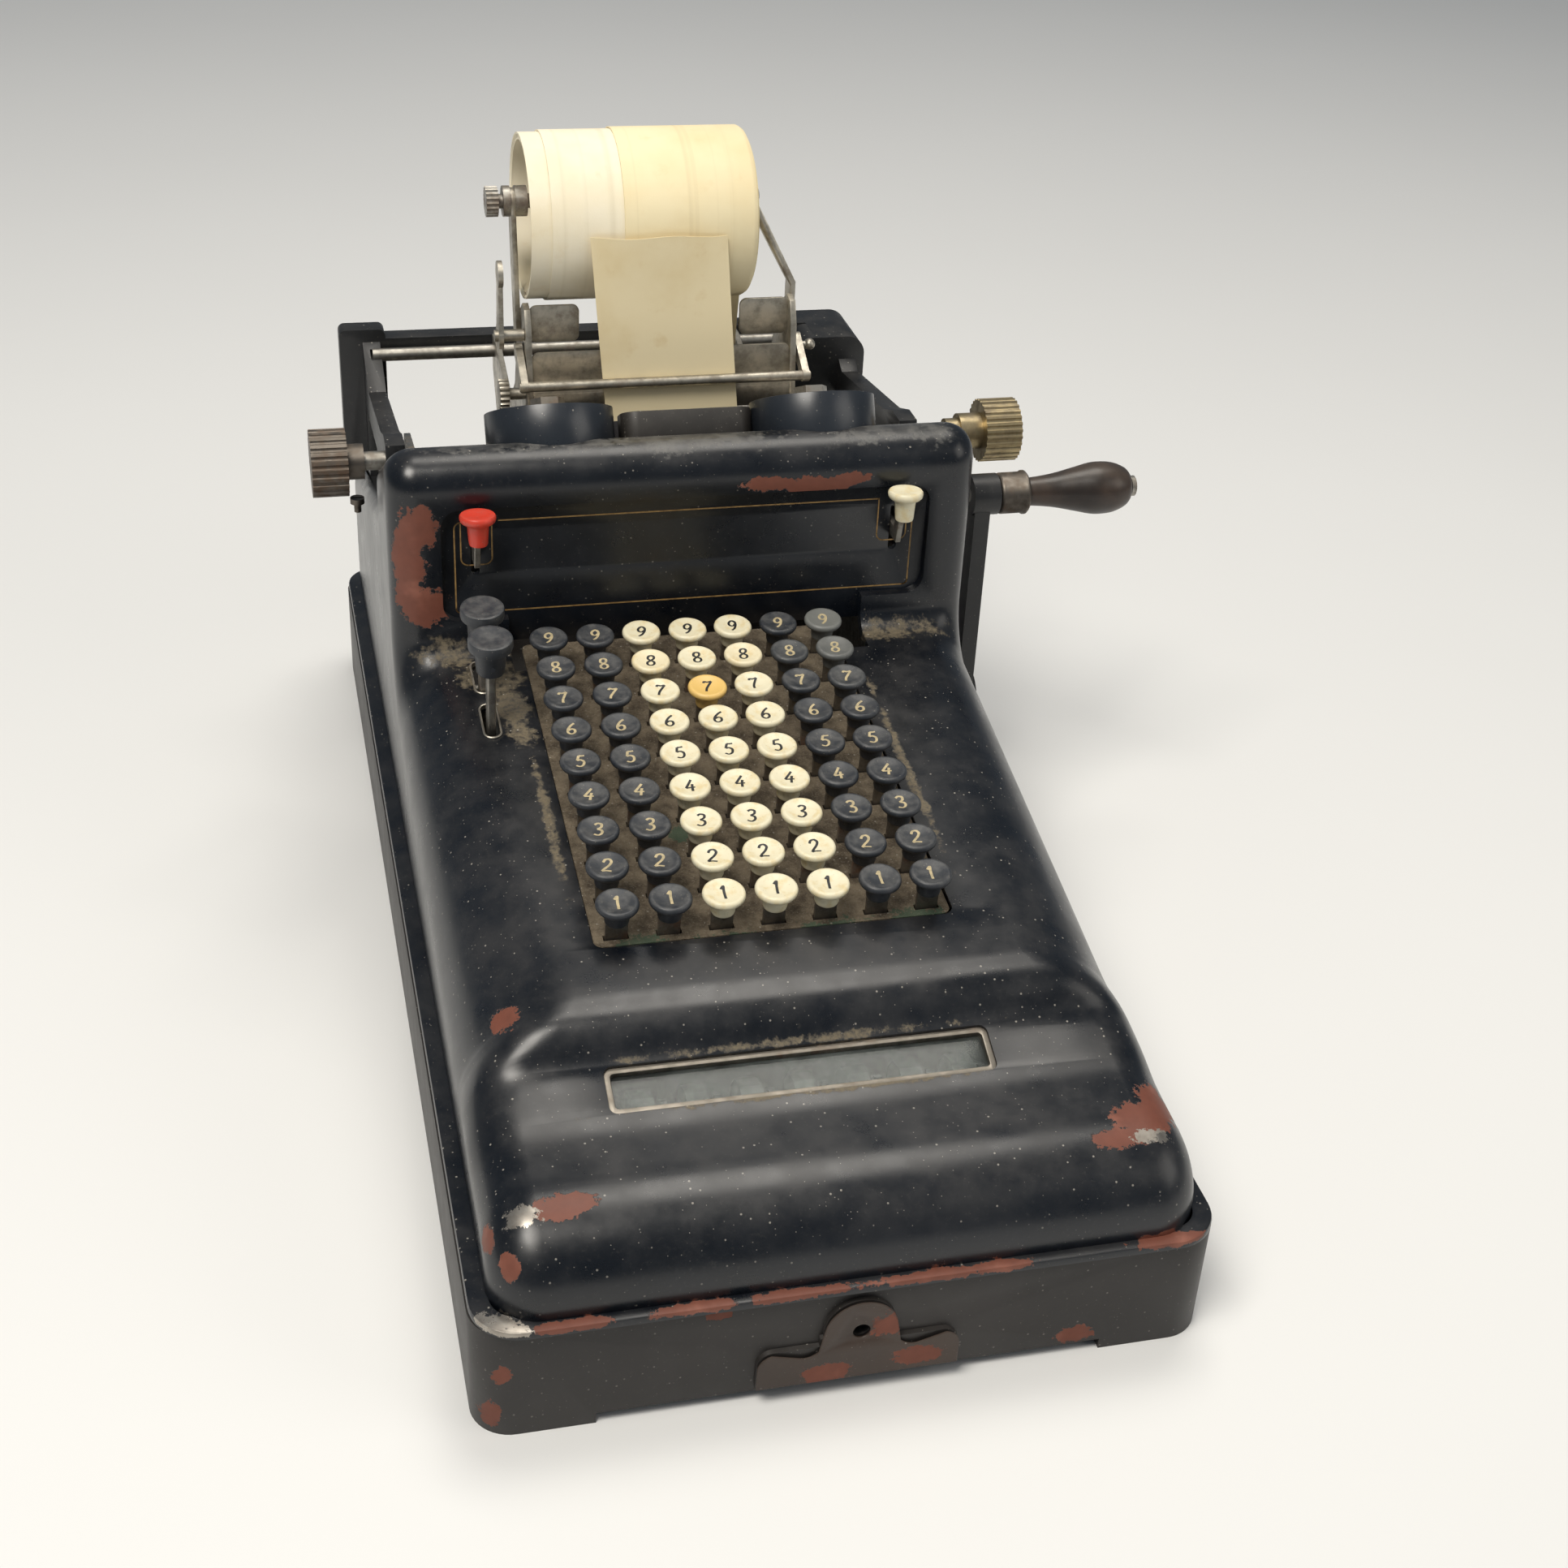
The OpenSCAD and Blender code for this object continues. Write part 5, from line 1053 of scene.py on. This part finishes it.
def make_boss():
    """A thin bell-shaped plate on the base's front, with a hole."""
    outline = [(-35, 7.6), (-35, 16.2)] + arc(-29, 16.6, 6.0, 180, 100, 5) + arc(-19, 26, 6.5, 262, 318, 4)
    outline += arc(0, BOSS_HOLE_Z, 12.6, 172, 8, 16)
    outline += [(-x, z) for x, z in reversed(outline[:-17])]
    s = Shape().prism(outline, place(0, BOSS_Y, 0) @ UPRIGHT, 0.2, 1.02, 0.3)
    plate = s.make("front_boss_look", "boss_brown", "case", "base_black", angle=40)
    at, r = place(0, BOSS_Y, BOSS_HOLE_Z) @ UPRIGHT, BOSS_HOLE_R
    cut(plate, [Shape().lathe([(0, -2), (r, -2), (r, 6), (0, 6)], at, 32)])


make_grip()
make_boss()


# The carried-over nodes
def soften_group():
    """A node tree that shades a mesh smooth except at sharp angles."""
    g, src, out = shape_tree("soft_shading", ("Mesh", "Geometry"))
    angle = g.nodes.new("GeometryNodeInputMeshEdgeAngle")
    more = g.nodes.new("FunctionNodeCompare")
    more.data_type, more.operation = "FLOAT", "GREATER_THAN"
    more.inputs[1].default_value = math.radians(32)
    faces, edges = g.nodes.new("GeometryNodeSetShadeSmooth"), g.nodes.new("GeometryNodeSetShadeSmooth")
    edges.domain = "EDGE"
    edges.inputs["Shade Smooth"].default_value = False
    g.links.new(src.outputs[0], faces.inputs[0])
    g.links.new(faces.outputs[0], edges.inputs[0])
    g.links.new(angle.outputs[0], more.inputs[0])
    g.links.new(more.outputs[0], edges.inputs["Selection"])
    g.links.new(edges.outputs[0], out.inputs[0])
    return g


SOFT = soften_group()
# Width of the rounded edges, in millimetres
EDGE_OF_NODE = {
    "print_frame": 0.8, "left_carriage_plate": 0.3, "right_carriage_plate": 0.3, "paper_guides": 0.3,
    "guide_plate": 0.3, "roll_arms": 0.3, "base_pan": 0.5, "type_guard": 0.5,
    "left_spool_cup": 0.35, "right_spool_cup": 0.35, "window_bezel": 0.3,
}
for name, ob in NODES.items():
    if ob.hide_render:
        continue
    slot = SLOT_OF[name]
    ob.data.materials.clear()
    ob.data.materials.append(M[LOOK_OF_NODE.get(name, slot)])
    weld = ob.modifiers.new("weld", "WELD")
    weld.merge_threshold = 0.00001
    if name in EDGE_OF_NODE:
        flat = ob.modifiers.new("flat", "DECIMATE")
        flat.decimate_type, flat.angle_limit = "DISSOLVE", math.radians(1.5)
        edge = ob.modifiers.new("edge", "BEVEL")
        edge.width, edge.segments, edge.limit_method = EDGE_OF_NODE[name] * MM, 2, "ANGLE"
        edge.angle_limit, edge.use_clamp_overlap = math.radians(40), True
    soft = ob.modifiers.new("soft", "NODES")
    soft.node_group = SOFT


# Stage, light, camera
LAMPS = (
    ("key_lamp", (-0.75, -0.8, 2.0), 0.9, 39),
    ("fill_lamp", (1.7, -1.1, 1.2), 1.2, 8),
    ("top_lamp", (0.35, 0.5, 2.2), 1.0, 20),
)
LAMP_COLOUR, LAMP_AIM = (1.0, 0.95, 0.87), Vector((0, 0, 0.1))
SKY_COLOUR, SKY_STRENGTH = (0.74, 0.86, 1.0, 1), 0.17


def make_stage():
    me = bpy.data.meshes.new("floor")
    me.from_pydata([(-6, -6, 0), (6, -6, 0), (6, 8, 0), (-6, 8, 0)], [], [(0, 1, 2, 3)])
    floor = bpy.data.objects.new("floor", me)
    scene.collection.objects.link(floor)
    t = Tree("floor_paint")
    me.materials.append(t.surface(t.mix(t.noise(2.0), (0.78, 0.78, 0.77), (0.82, 0.82, 0.81)), 0.9))
    world = bpy.data.worlds.new("studio")
    world.use_nodes = True
    sky = world.node_tree.nodes["Background"]
    sky.inputs["Color"].default_value, sky.inputs["Strength"].default_value = SKY_COLOUR, SKY_STRENGTH
    scene.world = world
    for name, at, size, power in LAMPS:
        lamp = bpy.data.lights.new(name, "AREA")
        lamp.size, lamp.energy, lamp.color = size, power, LAMP_COLOUR
        ob = bpy.data.objects.new(name, lamp)
        ob.location = at
        ob.rotation_mode = "QUATERNION"
        ob.rotation_quaternion = (LAMP_AIM - Vector(at)).to_track_quat("-Z", "Y")
        scene.collection.objects.link(ob)


# Focal length and width of the photo in pixels, the camera's place in metres, and its three directions
FOCAL_PX, FRAME_PX, SENSOR_MM = 2749.3, 1932, 36.0
CAMERA_AT = (-0.17503, -0.77131, 0.57184)
RIGHT, DOWN = (0.97099, -0.23382, 0.05002), (-0.08338, -0.52717, -0.84566)
FORWARD = (0.22410, 0.81696, -0.53137)


def make_camera():
    cam = bpy.data.objects.new("camera", bpy.data.cameras.new("camera"))
    cam.data.lens, cam.data.sensor_width = FOCAL_PX / FRAME_PX * SENSOR_MM, SENSOR_MM
    rows = [(RIGHT[i], -DOWN[i], -FORWARD[i], CAMERA_AT[i]) for i in range(3)]
    cam.matrix_world = Matrix(rows + [(0, 0, 0, 1)])
    scene.collection.objects.link(cam)
    scene.camera = cam


make_stage()
make_camera()
scene.view_settings.view_transform = "Standard"
